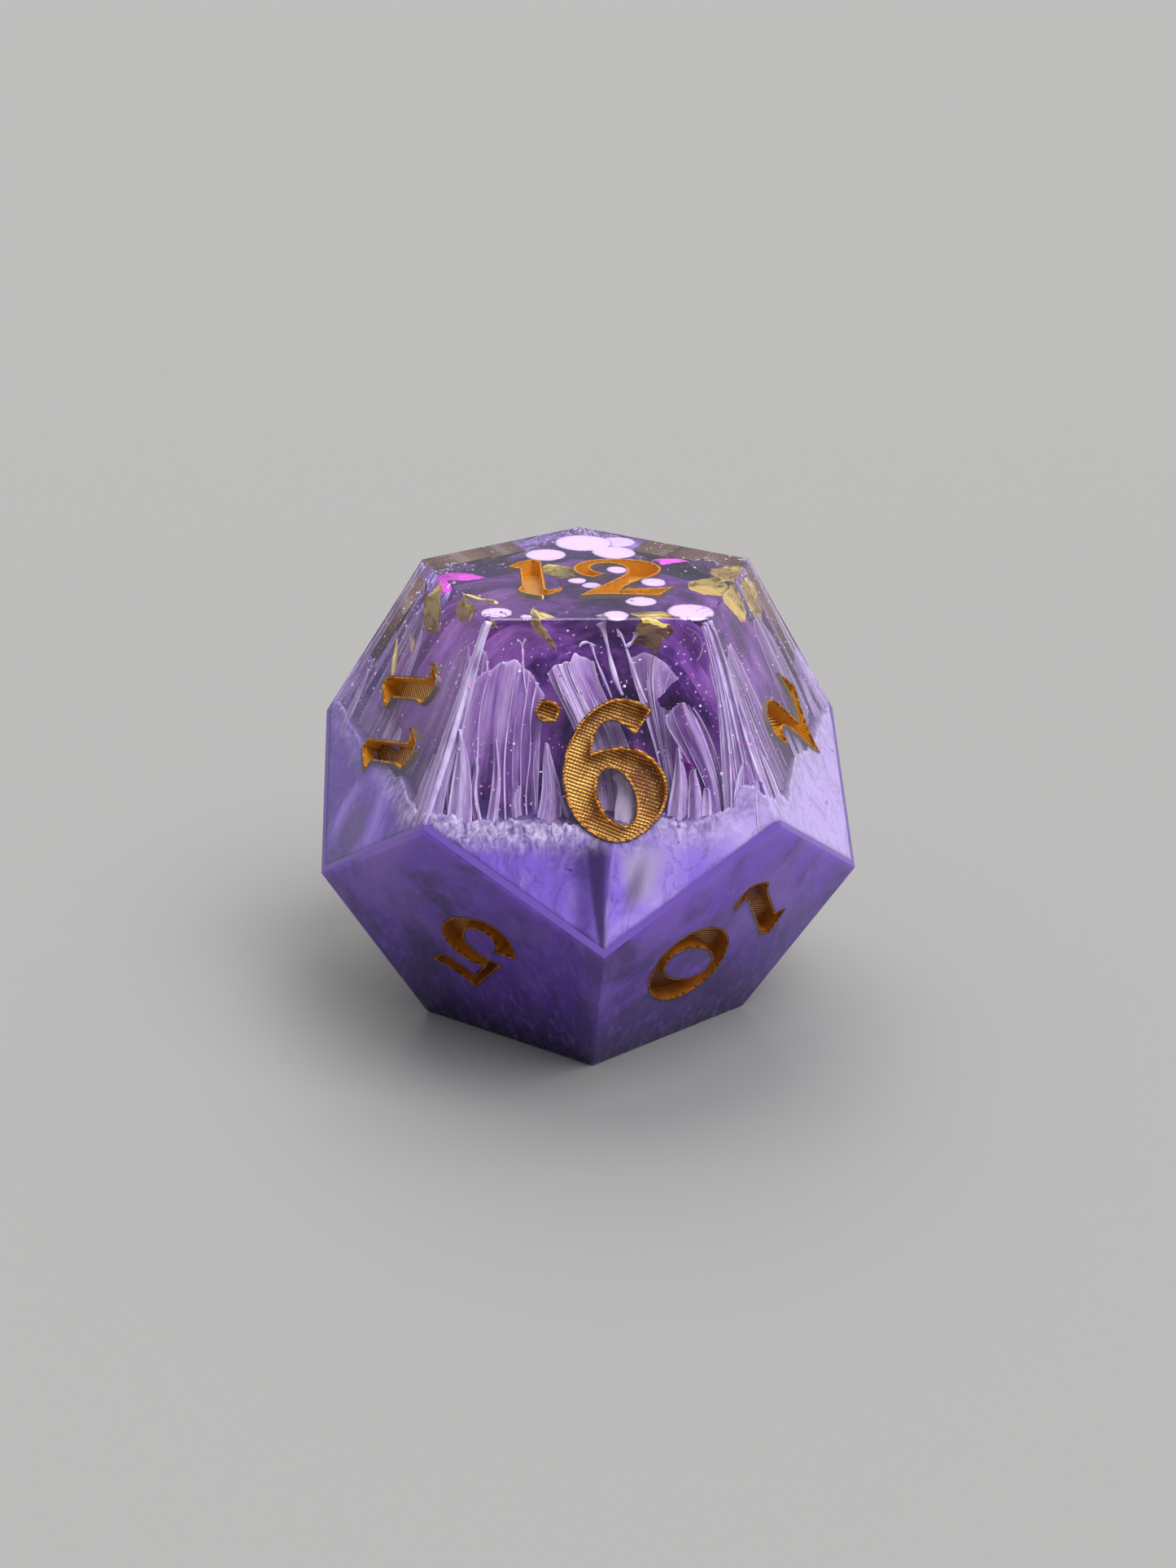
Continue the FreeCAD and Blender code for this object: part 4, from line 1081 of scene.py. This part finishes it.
def makeGlitterPiece():
    # eight-sided specks, scattered at random depths behind the upper faces
    rng = np.random.default_rng(77)
    azimuths = rng.choice([0, 72, 144, 216, 288, 0], glitter["count"])
    spots = np.empty((glitter["count"], 3))
    for azimuth in (0, 72, 144, 216, 288):
        mask = azimuths == azimuth
        x = rng.uniform(-7, 7, mask.sum())
        y = rng.uniform(-2.2, 6.0, mask.sum())
        depth = rng.uniform(*glitter["depth"], mask.sum())
        spots[mask] = onFace("upper", azimuth, x, y, depth)
    spots = tuck(spots, insets["glitter"] * mm)
    sizes = rng.uniform(*glitter["size"], glitter["count"]) * mm
    tips = np.array([[1, 0, 0], [0, 1, 0], [-1, 0, 0], [0, -1, 0], [0, 0, 0.4], [0, 0, -0.4]])
    turns = np.linalg.qr(rng.normal(size=(glitter["count"], 3, 3)))[0]
    points = spots[:, None, :] + np.einsum("nij,kj->nki", turns, tips) * sizes[:, None, None]
    faces = [(0, 1, 4), (1, 2, 4), (2, 3, 4), (3, 0, 4), (1, 0, 5), (2, 1, 5), (3, 2, 5), (0, 3, 5)]
    allFaces = (np.array(faces)[None] + 6 * np.arange(glitter["count"])[:, None, None]).reshape(-1, 3)
    hue = np.repeat(rng.uniform(0, 1, glitter["count"]), 6)
    r = Recipe("glitter")
    r.colour(r.ramp(r.attribute("hue"), [(0.0, (0.95, 0.90, 1.0)), (0.55, (0.95, 0.80, 0.95)),
                                         (0.7, (0.95, 0.25, 0.65)), (1.0, (0.70, 0.10, 0.90))]))
    piece = newObject("glitterSpecks", points, allFaces, smooth=False, attributes={"hue": hue},
                      material=r.finish(rough=0.3, metal=0.2))
    return outward(piece)


finishPiece(makeGlitterPiece(), "violet_leaf")
print("glitter made")


# floor, lights and camera
def makeStudio():
    floorMesh = bpy.data.meshes.new("floor")
    reach = 12.0
    level = float(dieLow[2] - 0.02 * mm)
    corners = [(-reach, -reach, level), (reach, -reach, level), (reach, reach, level), (-reach, reach, level)]
    floorMesh.from_pydata(corners, [], [(0, 1, 2, 3)])
    floor = linked("floor", floorMesh)
    r = Recipe("floorPaper")
    r.colour((0.322, 0.318, 0.311))
    floorMesh.materials.append(r.finish(rough=0.9))


suns = {
    "key": ((-0.05, 0.42, 0.92), 1.8, 55, (1.0, 0.99, 0.97)),
    "fill": ((0.36, -0.36, 0.84), 2.25, 42, (0.98, 0.98, 1.0)),
}


def makeLamps():
    for name, (origin, strength, spread, colour) in suns.items():
        data = bpy.data.lights.new(name, "SUN")
        data.energy = strength
        data.angle = math.radians(spread)
        data.color = colour
        lamp = linked(name, data)
        lamp.rotation_euler = (-Vector(origin)).to_track_quat("-Z", "Y").to_euler()
    world = bpy.data.worlds.new("studio")
    bpy.context.scene.world = world
    world.use_nodes = True
    world.node_tree.nodes["Background"].inputs[0].default_value = (0.92, 0.93, 0.96, 1.0)
    world.node_tree.nodes["Background"].inputs[1].default_value = 0.42


camera = {"place": (-6.301, -88.995, 46.936), "yaw": -4.112, "pitch": 22.398, "roll": 1.094, "lens": 49.15}


def makeCamera():
    # yaw from looking along +Y, then down by the pitch, then rolled about the line of sight
    data = bpy.data.cameras.new("camera")
    data.lens = camera["lens"]
    data.sensor_width = 36.0
    data.clip_start = 0.005
    data.clip_end = 10.0
    eye = linked("camera", data)
    turn = Matrix.Rotation(math.radians(camera["yaw"]), 4, "Z")
    tilt = Matrix.Rotation(math.radians(90 - camera["pitch"]), 4, "X")
    roll = Matrix.Rotation(math.radians(camera["roll"]), 4, "Z")
    eye.matrix_world = Matrix.Translation(Vector(camera["place"]) * mm) @ turn @ tilt @ roll
    bpy.context.scene.camera = eye


makeStudio()
makeLamps()
makeCamera()
bpy.context.scene.view_settings.view_transform = "Standard"
